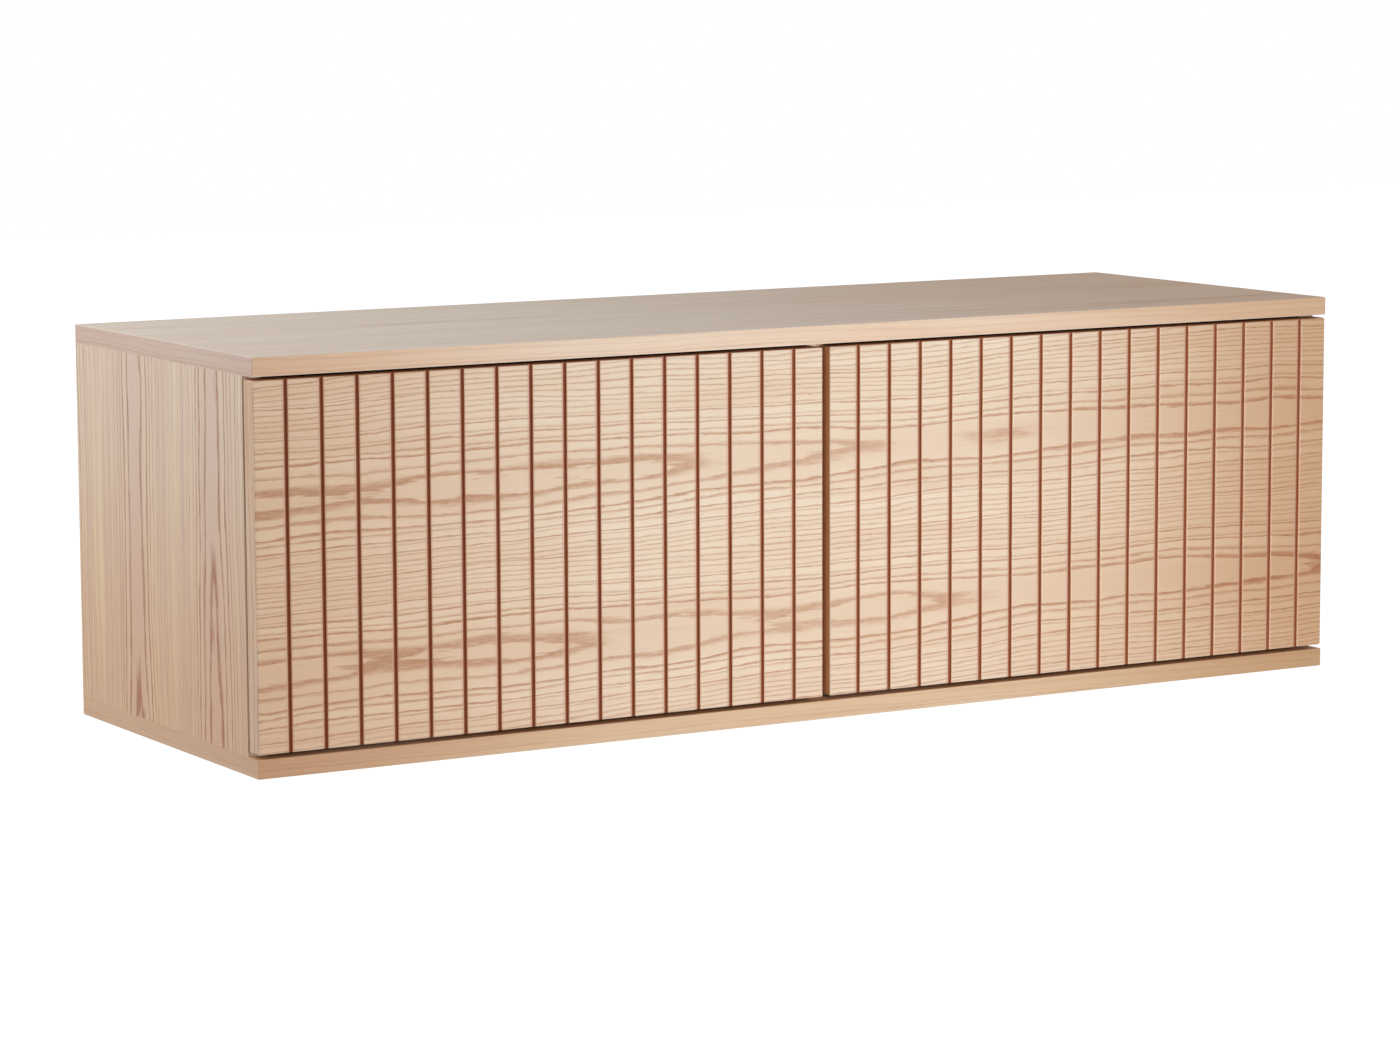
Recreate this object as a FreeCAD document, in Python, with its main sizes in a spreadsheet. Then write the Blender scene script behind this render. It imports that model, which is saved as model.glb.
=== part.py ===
"""Wall-hung media console: a carcass on a hidden cleat, with two grooved push-to-open doors.

Millimetres. +X is to the right, the doors face -Y, +Z is up. The wall is the plane Y = 0, and the
origin is the middle of the row of wall screws.
"""
import FreeCAD, Part
import operator
import os
import Sketcher

SIZES = {
    # Carcass
    "width": 1200,
    "depth": 400,
    "height": 380,
    "board": 18,
    "edge_round": 1.2,
    "back_thickness": 8,
    "housing_depth": 6,
    "panel_clearance": 0.1,
    "cable_slot_width": 140,
    "cable_slot_height": 50,
    "cable_slot_round": 20,
    "cable_slot_rise": 30,
    "cable_hole_radius": 25,
    "cable_hole_inset": 65,
    "cable_hole_rise": 60,
    "overrun": 2,
    # Dowels, cam bolts and cam housings
    "joint_inset": 50,
    "joint_spacing": 32,
    "dowel_radius": 4,
    "dowel_length": 30,
    "dowel_in_panel": 11,
    "joint_clearance": 0.1,
    "cam_drop": 24,
    "cam_radius": 7.4,
    "cam_depth": 12,
    "cam_slot_width": 1.4,
    "cam_slot_depth": 1.6,
    "bolt_radius": 3,
    "bolt_neck_radius": 2,
    "bolt_neck_length": 4,
    "bolt_head_length": 3,
    "bolt_in_panel": 10,
    # Shelves and their supports
    "shelf_thickness": 16,
    "shelf_setback": 30,
    "shelf_clearance": 0.8,
    "support_inset": 75,
    "support_spacing": 32,
    "support_radius": 2.5,
    "support_depth": 7.5,
    "support_reach": 9,
    "support_tab_width": 10,
    "support_tab_thickness": 2,
    # Cleats
    "cleat_thickness": 18,
    "cleat_gap": 2,
    "hanging_cleat_height": 45,
    "wall_cleat_height": 55,
    "wall_cleat_play": 20,
    "wall_screw_end": 82,
    "wall_screw_hole": 6.5,
    "wall_screw_sink": 13,
    "wall_screw_sink_depth": 5,
    "cleat_screw_spacing": 200,
    "cleat_screw_radius": 2,
    "cleat_screw_length": 22,
    "cleat_screw_head": 4.2,
    "cleat_screw_head_height": 2.4,
    # Doors
    "door_thickness": 19,
    "door_back_gap": 2.2,
    "door_side_reveal": 0.5,
    "door_top_gap": 3,
    "door_bottom_gap": 4,
    "door_centre_gap": 8,
    "door_round": 2,
    "door_back_round": 1,
    "slat_pitch": 35.4,
    "groove_width": 3.3,
    "groove_depth": 3.8,
    "groove_lip": 1.7,
    # Hinges
    "hinge_inset": 75,
    "pivot_inset": 7,
    "pin_radius": 1.3,
    "pin_length": 17,
    "pin_clearance": 0.05,
    "cup_radius": 17.4,
    "cup_edge": 3,
    "cup_depth": 13,
    "cup_floor": 1,
    "cup_clearance": 0.1,
    "flange_thickness": 0.8,
    "flange_rim": 0.6,
    "flange_width": 12,
    "flange_round": 4,
    "cup_screw_spacing": 48,
    "cup_screw_offset": 6,
    "cup_screw_radius": 1.6,
    "cup_screw_length": 11,
    "cup_screw_head": 3.3,
    "cup_screw_head_height": 1.6,
    "arm_width": 11,
    "arm_thickness": 2,
    "arm_bend": 1.5,
    "arm_side_play": 0.5,
    "arm_end_play": 1.3,
    "eye_radius": 2.2,
    "arm_length": 62,
    "plate_stand": 9.5,
    "plate_block_width": 12,
    "plate_block_start": 10,
    "plate_wing_length": 48,
    "plate_wing_width": 15,
    "plate_wing_thickness": 2.4,
    "plate_round": 5,
    "plate_screw_spacing": 32,
    "plate_screw_setback": 37,
    "plate_screw_radius": 2.4,
    "plate_screw_length": 12,
    "plate_screw_head": 4,
    "plate_screw_head_height": 2,
    "arm_screw_setback": 52,
    "arm_screw_radius": 2,
    "arm_screw_length": 9,
    "arm_screw_head": 3.8,
    "arm_screw_head_height": 1.8,
    # Push latches
    "latch_drop": 60,
    "latch_thickness": 15,
    "latch_height": 17,
    "latch_length": 70,
    "latch_setback": 3,
    "latch_round": 2.5,
    "latch_ear_thickness": 3,
    "latch_ear_length": 24,
    "latch_ear_height": 38,
    "latch_ear_start": 22,
    "latch_screw_spacing": 27,
    "latch_screw_radius": 1.6,
    "latch_screw_length": 11,
    "latch_screw_head": 3.2,
    "latch_screw_head_height": 1.8,
    "plunger_radius": 4.2,
    "plunger_clearance": 0.3,
    "plunger_length": 42,
    "plunger_bore_depth": 60,
    "latch_pad_radius": 5.6,
    "latch_pad_thickness": 3,
    "latch_pad_round": 0.8,
    "latch_pad_gap": 0.3,
    "strike_thickness": 1,
    "strike_width": 18,
    "strike_height": 26,
    "strike_round": 4,
}

doc = FreeCAD.newDocument("media_console")
sheet = doc.addObject("Spreadsheet::Sheet", "Sizes")
for row, (alias, number) in enumerate(SIZES.items(), start=1):
    sheet.set(f"A{row}", alias)
    sheet.set(f"B{row}", str(number))
    sheet.setAlias(f"B{row}", alias)
doc.recompute()


# Lengths that carry their own formula

class Size:
    """A length with its value now and its formula over the sheet's cells."""

    operations = {"+": operator.add, "-": operator.sub, "*": operator.mul, "/": operator.truediv}

    def __init__(self, value, formula):
        self.value = value
        self.formula = formula

    @staticmethod
    def of(number):
        return number if isinstance(number, Size) else Size(number, str(number))

    @staticmethod
    def join(left, sign, right):
        left = Size.of(left)
        right = Size.of(right)
        value = Size.operations[sign](left.value, right.value)
        return Size(value, f"({left.formula} {sign} {right.formula})")

    def __add__(self, other):
        return Size.join(self, "+", other)

    def __sub__(self, other):
        return Size.join(self, "-", other)

    def __mul__(self, other):
        return Size.join(self, "*", other)

    def __rmul__(self, other):
        return Size.join(other, "*", self)

    def __truediv__(self, other):
        return Size.join(self, "/", other)

    def __neg__(self):
        return Size.join(-1, "*", self)


class Cells:
    """The sheet's cells by their names."""

    def __getattr__(self, name):
        return Size(float(SIZES[name]), f"Sizes.{name}")


s = Cells()


def bind(item, path, length):
    """Ties one property to a formula over the sheet."""
    item.setExpression(path, Size.of(length).formula)


# Sketches on a body's own planes

NORMALS = {"XY_Plane": 1, "XZ_Plane": -1, "YZ_Plane": 1}


def body(label):
    return doc.addObject("PartDesign::Body", label)


def sketch(owner, role, level):
    """A sketch parallel to an origin plane, at a level along the axis that crosses it."""
    item = owner.newObject("Sketcher::SketchObject", "outline")
    plane = next(feature for feature in owner.Origin.OriginFeatures if feature.Role == role)
    item.AttachmentSupport = [(plane, "")]
    item.MapMode = "FlatFace"
    bind(item, "AttachmentOffset.Base.z", NORMALS[role] * Size.of(level))
    return item


def fix(item, kind, geometry, point, length):
    """Holds one coordinate of a point at a formula, measured from the sketch's origin."""
    length = Size.of(length)
    index = item.addConstraint(Sketcher.Constraint(kind, -1, 1, geometry, point, length.value))
    bind(item, f"Constraints[{index}]", length)


def spot(pair):
    return FreeCAD.Vector(Size.of(pair[0]).value, Size.of(pair[1]).value, 0)


def polygon(item, corners):
    first = item.GeometryCount
    count = len(corners)
    for k in range(count):
        item.addGeometry(Part.LineSegment(spot(corners[k]), spot(corners[(k + 1) % count])), False)
    for k, (across, up) in enumerate(corners):
        item.addConstraint(Sketcher.Constraint("Coincident", first + k, 2, first + (k + 1) % count, 1))
        fix(item, "DistanceX", first + k, 1, across)
        fix(item, "DistanceY", first + k, 1, up)


def rectangle(item, across, up):
    """A rectangle from a low and a high value each way."""
    polygon(item, [(across[0], up[0]), (across[1], up[0]), (across[1], up[1]), (across[0], up[1])])


def circles(item, centres, radius):
    for centre in centres:
        circle = Part.Circle(spot(centre), FreeCAD.Vector(0, 0, 1), Size.of(radius).value)
        index = item.addGeometry(circle, False)
        fix(item, "DistanceX", index, 3, centre[0])
        fix(item, "DistanceY", index, 3, centre[1])
        held = item.addConstraint(Sketcher.Constraint("Radius", index, Size.of(radius).value))
        bind(item, f"Constraints[{held}]", radius)


def pad(owner, item, length, toward=1):
    """Adds material from the sketch, toward the plus or the minus end of the axis that crosses it."""
    feature = owner.newObject("PartDesign::Pad", "pad")
    feature.Profile = item
    feature.Reversed = toward != NORMALS[item.AttachmentSupport[0][0].Role]
    bind(feature, "Length", length)
    return feature


def pocket(owner, item, length, toward):
    """Cuts from the sketch toward one end of its axis, and makes sure that something was cut."""
    doc.recompute()
    before = owner.Shape.Volume
    feature = owner.newObject("PartDesign::Pocket", "pocket")
    feature.Profile = item
    feature.Reversed = toward == NORMALS[item.AttachmentSupport[0][0].Role]
    bind(feature, "Length", length)
    doc.recompute()
    if not feature.Shape.Volume < before:
        raise ValueError(f"a cut in {owner.Label} takes nothing away")
    return feature


def drill(owner, role, level, centres, radius, length, toward):
    item = sketch(owner, role, level)
    circles(item, centres, radius)
    return pocket(owner, item, length, toward)


def runs_along(edge, axis):
    """True for a straight edge parallel to X, Y or Z."""
    return isinstance(edge.Curve, Part.Line) and abs(getattr(edge.Curve.Direction, axis)) > 0.999


def near(one, other):
    return abs(one - Size.of(other).value) < 1e-6


def ease(owner, radius, wanted):
    """Rounds the edges of the body that pass a test."""
    doc.recompute()
    base = owner.Tip
    names = [f"Edge{k}" for k, edge in enumerate(base.Shape.Edges, start=1) if wanted(edge)]
    feature = owner.newObject("PartDesign::Fillet", "rounding")
    feature.Base = (base, names)
    bind(feature, "Radius", radius)
    return feature


def block(label, x, y, z):
    """A body that starts as a board between low and high places."""
    item = body(label)
    plan = sketch(item, "XY_Plane", z[0])
    rectangle(plan, x, y)
    pad(item, plan, z[1] - z[0])
    return item


# Plain solids, groups and the opposite hand

TURNS = {
    "+X": FreeCAD.Rotation(FreeCAD.Vector(0, 1, 0), 90),
    "-X": FreeCAD.Rotation(FreeCAD.Vector(0, 1, 0), -90),
    "+Y": FreeCAD.Rotation(FreeCAD.Vector(1, 0, 0), -90),
    "-Y": FreeCAD.Rotation(FreeCAD.Vector(1, 0, 0), 90),
    "+Z": FreeCAD.Rotation(),
    "-Z": FreeCAD.Rotation(FreeCAD.Vector(1, 0, 0), 180),
}
STEPS = {"X": (1, 0, 0), "Y": (0, 1, 0), "Z": (0, 0, 1)}


def place(item, x, y, z):
    bind(item, "Placement.Base.x", x)
    bind(item, "Placement.Base.y", y)
    bind(item, "Placement.Base.z", z)
    return item


def rod(start, heading, radius, length, label="rod"):
    """A cylinder from a point along a signed axis."""
    item = doc.addObject("Part::Cylinder", label)
    item.Placement = FreeCAD.Placement(FreeCAD.Vector(), TURNS[heading])
    bind(item, "Radius", radius)
    bind(item, "Height", length)
    return place(item, *start)


def box(x, y, z):
    item = doc.addObject("Part::Box", "box")
    for name, (low, high) in (("Length", x), ("Width", y), ("Height", z)):
        bind(item, name, high - low)
    return place(item, x[0], y[0], z[0])


def along(start, heading, distance):
    """The point at a distance from another, along a signed axis."""
    sign = 1 if heading[0] == "+" else -1
    return tuple(Size.of(a) + sign * step * distance for a, step in zip(start, STEPS[heading[1]]))


def fuse(pieces):
    item = doc.addObject("Part::MultiFuse", "fused")
    item.Shapes = pieces
    return item


def screw(seat, heading, kind):
    """A screw whose head lies on the seat, with its shank along the heading."""
    back = ("-" if heading[0] == "+" else "+") + heading[1]
    head = rod(seat, back, getattr(s, kind + "_head"), getattr(s, kind + "_head_height"))
    shank = rod(seat, heading, getattr(s, kind + "_radius"), getattr(s, kind + "_length"))
    return fuse([head, shank])


def group(label, pieces):
    item = doc.addObject("Part::Compound", label)
    item.Links = pieces
    return item


def mirror(label, source):
    """The same piece on the other side of the middle plane."""
    item = doc.addObject("Part::Mirroring", label)
    item.Source = source
    item.Base = FreeCAD.Vector()
    item.Normal = FreeCAD.Vector(1, 0, 0)
    return item


# Levels that several pieces share

half = s.width / 2
inner = half - s.board
half_board = s.board / 2
recess = s.cleat_thickness + s.cleat_gap
bevel_foot = (s.wall_cleat_height - s.cleat_thickness) / 2
top = bevel_foot + recess + s.hanging_cleat_height + s.board
under_top = top - s.board
bottom = top - s.height
over_bottom = bottom + s.board
front = -s.depth
door_back = front + s.door_thickness
carcass_front = door_back + s.door_back_gap
back_rear = -recess
back_front = back_rear - s.back_thickness
joint_x = half - half_board
joint_front = carcass_front + s.joint_inset
joint_rear = back_front - s.joint_inset
cam_front = joint_front + s.joint_spacing
cam_rear = joint_rear - s.joint_spacing
housing = (back_front - s.panel_clearance, back_rear + s.panel_clearance)
dowel_hole = s.dowel_radius + s.joint_clearance
bolt_hole = s.bolt_radius + s.joint_clearance
cam_hole = s.cam_radius + s.joint_clearance
compartment_middle = (inner + half_board) / 2

door_edge = -half + s.door_side_reveal
door_end = -s.door_centre_gap / 2
door_low = over_bottom + s.door_bottom_gap
door_high = under_top - s.door_top_gap
pivot_x = door_edge + s.pivot_inset
pivot_y = door_back - s.door_thickness / 2
hinge_levels = {"upper": door_high - s.hinge_inset, "lower": door_low + s.hinge_inset}
cup_x = door_edge + s.cup_edge + s.cup_radius
cup_screw_x = cup_x + s.cup_screw_offset
arm_near = -inner + s.plate_stand
arm_far = arm_near + s.arm_thickness
plate_screw_y = carcass_front + s.plate_screw_setback
arm_screw_y = carcass_front + s.arm_screw_setback
arm_rear = carcass_front + s.arm_length

shelf_low = (over_bottom + under_top - s.shelf_thickness) / 2
support_z = shelf_low - s.support_radius
support_front = carcass_front + s.support_inset
support_rear = back_front - s.support_inset

latch_z = under_top - s.latch_drop
latch_x = -half_board - s.latch_thickness / 2
latch_front = carcass_front + s.latch_setback
latch_ear_middle = latch_front + s.latch_ear_start + s.latch_ear_length / 2
latch_ear_face = -half_board - s.latch_ear_thickness
strike_face = door_back + s.strike_thickness


# Carcass boards

def cover(label, low, high, joint, into):
    """The top or the bottom panel, with the joints' holes on its inner face."""
    item = block(label, (-half, half), (front, 0), (low, high))
    outer = high if into > 0 else low

    def shows(edge):
        middle = edge.CenterOfMass
        upright = runs_along(edge, "z") and near(middle.y, front)
        rim = near(middle.z, outer) and not near(middle.y, 0)
        return upright or rim or near(middle.y, front)

    ease(item, s.edge_round, shows)
    slot = sketch(item, "XY_Plane", joint)
    rectangle(slot, (-inner - s.housing_depth, inner + s.housing_depth), housing)
    pocket(item, slot, s.housing_depth, into)
    dowels = [(x, y) for x in (-joint_x, 0, joint_x) for y in (joint_front, joint_rear)]
    drill(item, "XY_Plane", joint, dowels, dowel_hole, s.dowel_in_panel, into)
    bolts = [(x, y) for x in (-joint_x, joint_x) for y in (cam_front, cam_rear)]
    drill(item, "XY_Plane", joint, bolts, bolt_hole, s.bolt_in_panel, into)
    return item


def upright_joints(item, x):
    """Dowel holes in the upper and the lower edge of a standing board."""
    places = [(x, joint_front), (x, joint_rear)]
    depth = s.dowel_length - s.dowel_in_panel
    drill(item, "XY_Plane", under_top, places, dowel_hole, depth, -1)
    drill(item, "XY_Plane", over_bottom, places, dowel_hole, depth, 1)


def support_places():
    """The rows of shelf support holes, as places across the depth and up."""
    rows = (support_z - s.support_spacing, support_z, support_z + s.support_spacing)
    return [(y, z) for y in (support_front, support_rear) for z in rows]


def side_panel(label):
    item = block(label, (-half, -inner), (carcass_front, 0), (over_bottom, under_top))
    slot = sketch(item, "YZ_Plane", -inner)
    rectangle(slot, housing, (over_bottom, under_top))
    pocket(item, slot, s.housing_depth, -1)
    upright_joints(item, -joint_x)
    bolts = [(-joint_x, cam_front), (-joint_x, cam_rear)]
    drill(item, "XY_Plane", under_top, bolts, bolt_hole, s.cam_drop, -1)
    drill(item, "XY_Plane", over_bottom, bolts, bolt_hole, s.cam_drop, 1)
    cams = [(y, z) for y in (cam_front, cam_rear) for z in (under_top - s.cam_drop, over_bottom + s.cam_drop)]
    drill(item, "YZ_Plane", -inner, cams, cam_hole, s.cam_depth, -1)
    support_hole = s.support_radius + s.joint_clearance
    drill(item, "YZ_Plane", -inner, support_places(), support_hole, s.support_depth, -1)
    plate_hole = s.plate_screw_radius + s.joint_clearance
    plate_depth = s.plate_screw_length - s.plate_wing_thickness
    plates = [(plate_screw_y, z) for z in plate_screw_levels()]
    drill(item, "YZ_Plane", -inner, plates, plate_hole, plate_depth, -1)
    return item


def plate_screw_levels():
    shift = s.plate_screw_spacing / 2
    return [level + sign * shift for level in hinge_levels.values() for sign in (-1, 1)]


def latch_screw_levels():
    return [latch_z - s.latch_screw_spacing / 2, latch_z + s.latch_screw_spacing / 2]


def divider_panel(label):
    item = block(label, (-half_board, half_board), (carcass_front, back_front), (over_bottom, under_top))
    upright_joints(item, 0)
    support_hole = s.support_radius + s.joint_clearance
    latch_hole = s.latch_screw_radius + s.joint_clearance
    latch_depth = s.latch_screw_length - s.latch_ear_thickness
    latches = [(latch_ear_middle, z) for z in latch_screw_levels()]
    for face, into in ((-half_board, 1), (half_board, -1)):
        drill(item, "YZ_Plane", face, support_places(), support_hole, s.support_depth, into)
        drill(item, "YZ_Plane", face, latches, latch_hole, latch_depth, into)
    passage = (back_front - s.cable_hole_inset, over_bottom + s.cable_hole_rise)
    drill(item, "YZ_Plane", half_board, [passage], s.cable_hole_radius, s.board, -1)
    return item


def cleat_screw_places():
    """Screws that hold the hanging cleat, two either side of each compartment's middle."""
    level = under_top - s.hanging_cleat_height / 2
    shift = s.cleat_screw_spacing / 2
    places = [sign * compartment_middle + step * shift for sign in (-1, 1) for step in (-1, 1)]
    return [(x, level) for x in places]


def back_board(label):
    reach = s.housing_depth - s.panel_clearance
    x = (-inner - reach, inner + reach)
    z = (over_bottom - reach, under_top + reach)
    item = block(label, x, (back_front, back_rear), z)
    slot_low = over_bottom + s.cable_slot_rise
    slot_high = slot_low + s.cable_slot_height
    slots = sketch(item, "XZ_Plane", back_front)
    for middle in (-compartment_middle, compartment_middle):
        across = (middle - s.cable_slot_width / 2, middle + s.cable_slot_width / 2)
        rectangle(slots, across, (slot_low, slot_high))
    pocket(item, slots, s.back_thickness, 1)
    levels = (slot_low, slot_high)

    def slot_corner(edge):
        return runs_along(edge, "y") and any(near(edge.CenterOfMass.z, level) for level in levels)

    ease(item, s.cable_slot_round, slot_corner)
    radius = s.cleat_screw_radius + s.joint_clearance
    drill(item, "XZ_Plane", back_front, cleat_screw_places(), radius, s.back_thickness, 1)
    return item


# Joint fittings

def joint_levels():
    """Each joint's level and the way from the standing board into the cover."""
    return ((under_top, "+Z", "-Z", -1), (over_bottom, "-Z", "+Z", 1))


def dowels(label):
    pieces = []
    for level, into, out, _ in joint_levels():
        for x in (-joint_x, 0, joint_x):
            for y in (joint_front, joint_rear):
                start = along((x, y, level), into, s.dowel_in_panel)
                pieces.append(rod(start, out, s.dowel_radius, s.dowel_length))
    return group(label, pieces)


def cam_bolt(start, heading):
    """A threaded shank, a thin neck and the head that the cam pulls on."""
    total = s.bolt_in_panel + s.cam_drop
    shank_length = total - s.bolt_neck_length - s.bolt_head_length
    shank = rod(start, heading, s.bolt_radius, shank_length)
    neck = rod(along(start, heading, shank_length), heading, s.bolt_neck_radius, s.bolt_neck_length)
    head_start = along(start, heading, shank_length + s.bolt_neck_length)
    head = rod(head_start, heading, s.bolt_radius, s.bolt_head_length)
    return fuse([shank, neck, head])


def cam_housing(x, y, z, inward, side):
    """A drum with a bore toward the bolt and a driver slot in its open face."""
    heading = "+X" if side < 0 else "-X"
    face = (x, y, z)
    drum = rod(along(face, heading, -s.cam_depth), heading, s.cam_radius, s.cam_depth)
    middle = (Size.of(x) + side * half_board, y, z)
    bore = rod(along(middle, inward, -bolt_hole), inward, bolt_hole, bolt_hole + s.cam_radius)
    slot_across = (Size.of(y) - s.cam_radius / 2, Size.of(y) + s.cam_radius / 2)
    slot_up = (Size.of(z) - s.cam_slot_width / 2, Size.of(z) + s.cam_slot_width / 2)
    deep = Size.of(x) + side * s.cam_slot_depth
    slot_x = (deep, x) if side < 0 else (x, deep)
    item = doc.addObject("Part::Cut", "cam")
    item.Base = drum
    item.Tool = group("cam_cuts", [bore, box(slot_x, slot_across, slot_up)])
    return item


def cam_fittings(bolt_label, housing_label):
    bolts = []
    housings = []
    for level, into, out, sign in joint_levels():
        for side in (-1, 1):
            for y in (cam_front, cam_rear):
                start = along((side * joint_x, y, level), into, s.bolt_in_panel)
                bolts.append(cam_bolt(start, out))
                centre_z = level + sign * s.cam_drop
                housings.append(cam_housing(side * inner, y, centre_z, into, side))
    group(bolt_label, bolts)
    group(housing_label, housings)


# Shelves

def shelf(label):
    x = (-inner + s.shelf_clearance, -half_board - s.shelf_clearance)
    y = (carcass_front + s.shelf_setback, back_front - s.shelf_clearance)
    item = block(label, x, y, (shelf_low, shelf_low + s.shelf_thickness))
    ease(item, s.edge_round, lambda edge: runs_along(edge, "x") and near(edge.CenterOfMass.y, y[0]))
    return item


def shelf_supports(label):
    """Four spoon supports: a round peg in the board and a flat tab under the shelf."""
    pieces = []
    tab_low = shelf_low - s.support_tab_thickness
    for wall, heading, sign in ((-inner, "+X", 1), (-half_board, "-X", -1)):
        tip = wall + sign * s.support_reach
        tab_x = (wall, tip) if sign > 0 else (tip, wall)
        for y in (support_front, support_rear):
            start = along((wall, y, support_z), heading, -s.support_depth)
            peg = rod(start, heading, s.support_radius, s.support_depth + s.support_reach)
            tab_y = (y - s.support_tab_width / 2, y + s.support_tab_width / 2)
            pieces.append(fuse([peg, box(tab_x, tab_y, (tab_low, shelf_low))]))
    return group(label, pieces)


# Cleats: two bevelled rails that hook over each other behind the back panel

def hanging_cleat(label):
    item = body(label)
    section = sketch(item, "YZ_Plane", -inner)
    near_wall = -s.cleat_gap
    polygon(section, [
        (back_rear, bevel_foot + recess),
        (near_wall, bevel_foot + s.cleat_gap),
        (near_wall, under_top),
        (back_rear, under_top),
    ])
    pad(item, section, 2 * inner)
    radius = s.cleat_screw_radius + s.joint_clearance
    depth = s.cleat_screw_length - s.back_thickness
    drill(item, "XZ_Plane", back_rear, cleat_screw_places(), radius, depth, 1)
    return item


def wall_cleat(label):
    item = body(label)
    reach = inner - s.wall_cleat_play
    section = sketch(item, "YZ_Plane", -reach)
    low = bevel_foot - s.wall_cleat_height
    polygon(section, [
        (-s.cleat_thickness, low),
        (0, low),
        (0, bevel_foot),
        (-s.cleat_thickness, bevel_foot + s.cleat_thickness),
    ])
    pad(item, section, 2 * reach)
    doc.recompute()
    before = item.Shape.Volume
    places = sketch(item, "XZ_Plane", -s.cleat_thickness)
    # Four screws at an even pitch
    outer = reach - s.wall_screw_end
    middle = outer / 3
    circles(places, [(x, 0) for x in (-outer, -middle, middle, outer)], s.wall_screw_hole / 2)
    doc.recompute()
    hole = item.newObject("PartDesign::Hole", "wall_screw_holes")
    hole.Profile = places
    hole.ThreadType = "None"
    hole.DepthType = "ThroughAll"
    hole.HoleCutType = "Counterbore"
    hole.HoleCutCustomValues = True
    bind(hole, "Diameter", s.wall_screw_hole)
    bind(hole, "HoleCutDiameter", s.wall_screw_sink)
    bind(hole, "HoleCutDepth", s.wall_screw_sink_depth)
    doc.recompute()
    if not hole.Shape.Volume < before:
        raise ValueError("the wall screw holes take nothing away")
    return item


def cleat_screws(label):
    return group(label, [screw((x, back_front, z), "+Y", "cleat_screw") for x, z in cleat_screw_places()])


# Doors

def groove_section(item, middle):
    """A round-bottomed channel with softened lips, open past the front face."""
    wall = s.groove_width / 2
    lip_x = wall + s.groove_lip
    outside = front - s.overrun
    lip_y = front + s.groove_lip
    floor_y = front + s.groove_depth - wall
    left = [(middle - lip_x, front), (middle - wall, lip_y), (middle - wall, floor_y)]
    right = [(middle + wall, floor_y), (middle + wall, lip_y), (middle + lip_x, front)]
    mouth = [(middle + lip_x, outside), (middle - lip_x, outside)]
    path = left + right + mouth
    count = len(path)
    quarter = 0.5 ** 0.5
    bulges = {
        0: (middle - lip_x + quarter * s.groove_lip, lip_y - quarter * s.groove_lip),
        2: (middle, front + s.groove_depth),
        4: (middle + lip_x - quarter * s.groove_lip, lip_y - quarter * s.groove_lip),
    }
    ends = {}
    for k in range(count):
        begin = spot(path[k])
        end = spot(path[(k + 1) % count])
        if k in bulges:
            bulge = spot(bulges[k])
            clockwise = (bulge - begin).cross(end - bulge).z < 0
            through = (end, bulge, begin) if clockwise else (begin, bulge, end)
            item.addGeometry(Part.ArcOfCircle(*through), False)
            ends[k] = (2, 1) if clockwise else (1, 2)
        else:
            item.addGeometry(Part.LineSegment(begin, end), False)
            ends[k] = (1, 2)
    for k, (across, deep) in enumerate(path):
        following = (k + 1) % count
        item.addConstraint(Sketcher.Constraint("Coincident", k, ends[k][1], following, ends[following][0]))
        fix(item, "DistanceX", k, ends[k][0], across)
        fix(item, "DistanceY", k, ends[k][0], deep)
    fix(item, "DistanceX", 0, 3, middle - lip_x)
    fix(item, "DistanceY", 2, 3, floor_y)
    fix(item, "DistanceX", 4, 3, middle + lip_x)


def door(label):
    item = body(label)
    face = sketch(item, "XZ_Plane", door_back)
    rectangle(face, (door_edge, door_end), (door_low, door_high))
    pad(item, face, s.door_thickness, -1)
    ease(item, s.door_round, lambda edge: not near(edge.CenterOfMass.y, door_back))
    ease(item, s.door_back_round, lambda edge: near(edge.CenterOfMass.y, door_back))
    door_width = door_end - door_edge
    count = int(door_width.value / s.slat_pitch.value)
    span = s.slat_pitch * (count - 1)
    first = door_edge + (door_width - span) / 2
    section = sketch(item, "XY_Plane", door_low)
    groove_section(section, first)
    groove = pocket(item, section, door_high - door_low, 1)
    row = item.newObject("PartDesign::LinearPattern", "groove_row")
    row.Originals = [groove]
    axis = next(feature for feature in item.Origin.OriginFeatures if feature.Role == "X_Axis")
    row.Direction = (axis, [""])
    row.Occurrences = count
    bind(row, "Length", span)
    item.Tip = row
    cups = [(cup_x, level) for level in hinge_levels.values()]
    bore = s.cup_radius + s.cup_clearance
    drill(item, "XZ_Plane", door_back, cups, bore, s.cup_depth + s.cup_clearance, -1)
    pilot = s.cup_screw_radius + s.joint_clearance
    pilot_depth = s.cup_screw_length - s.flange_thickness
    drill(item, "XZ_Plane", door_back, cup_screw_places(), pilot, pilot_depth, -1)
    return item


# Concealed hinges

def cup_screw_places():
    shift = s.cup_screw_spacing / 2
    return [(cup_screw_x, level + sign * shift) for level in hinge_levels.values() for sign in (-1, 1)]


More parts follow.
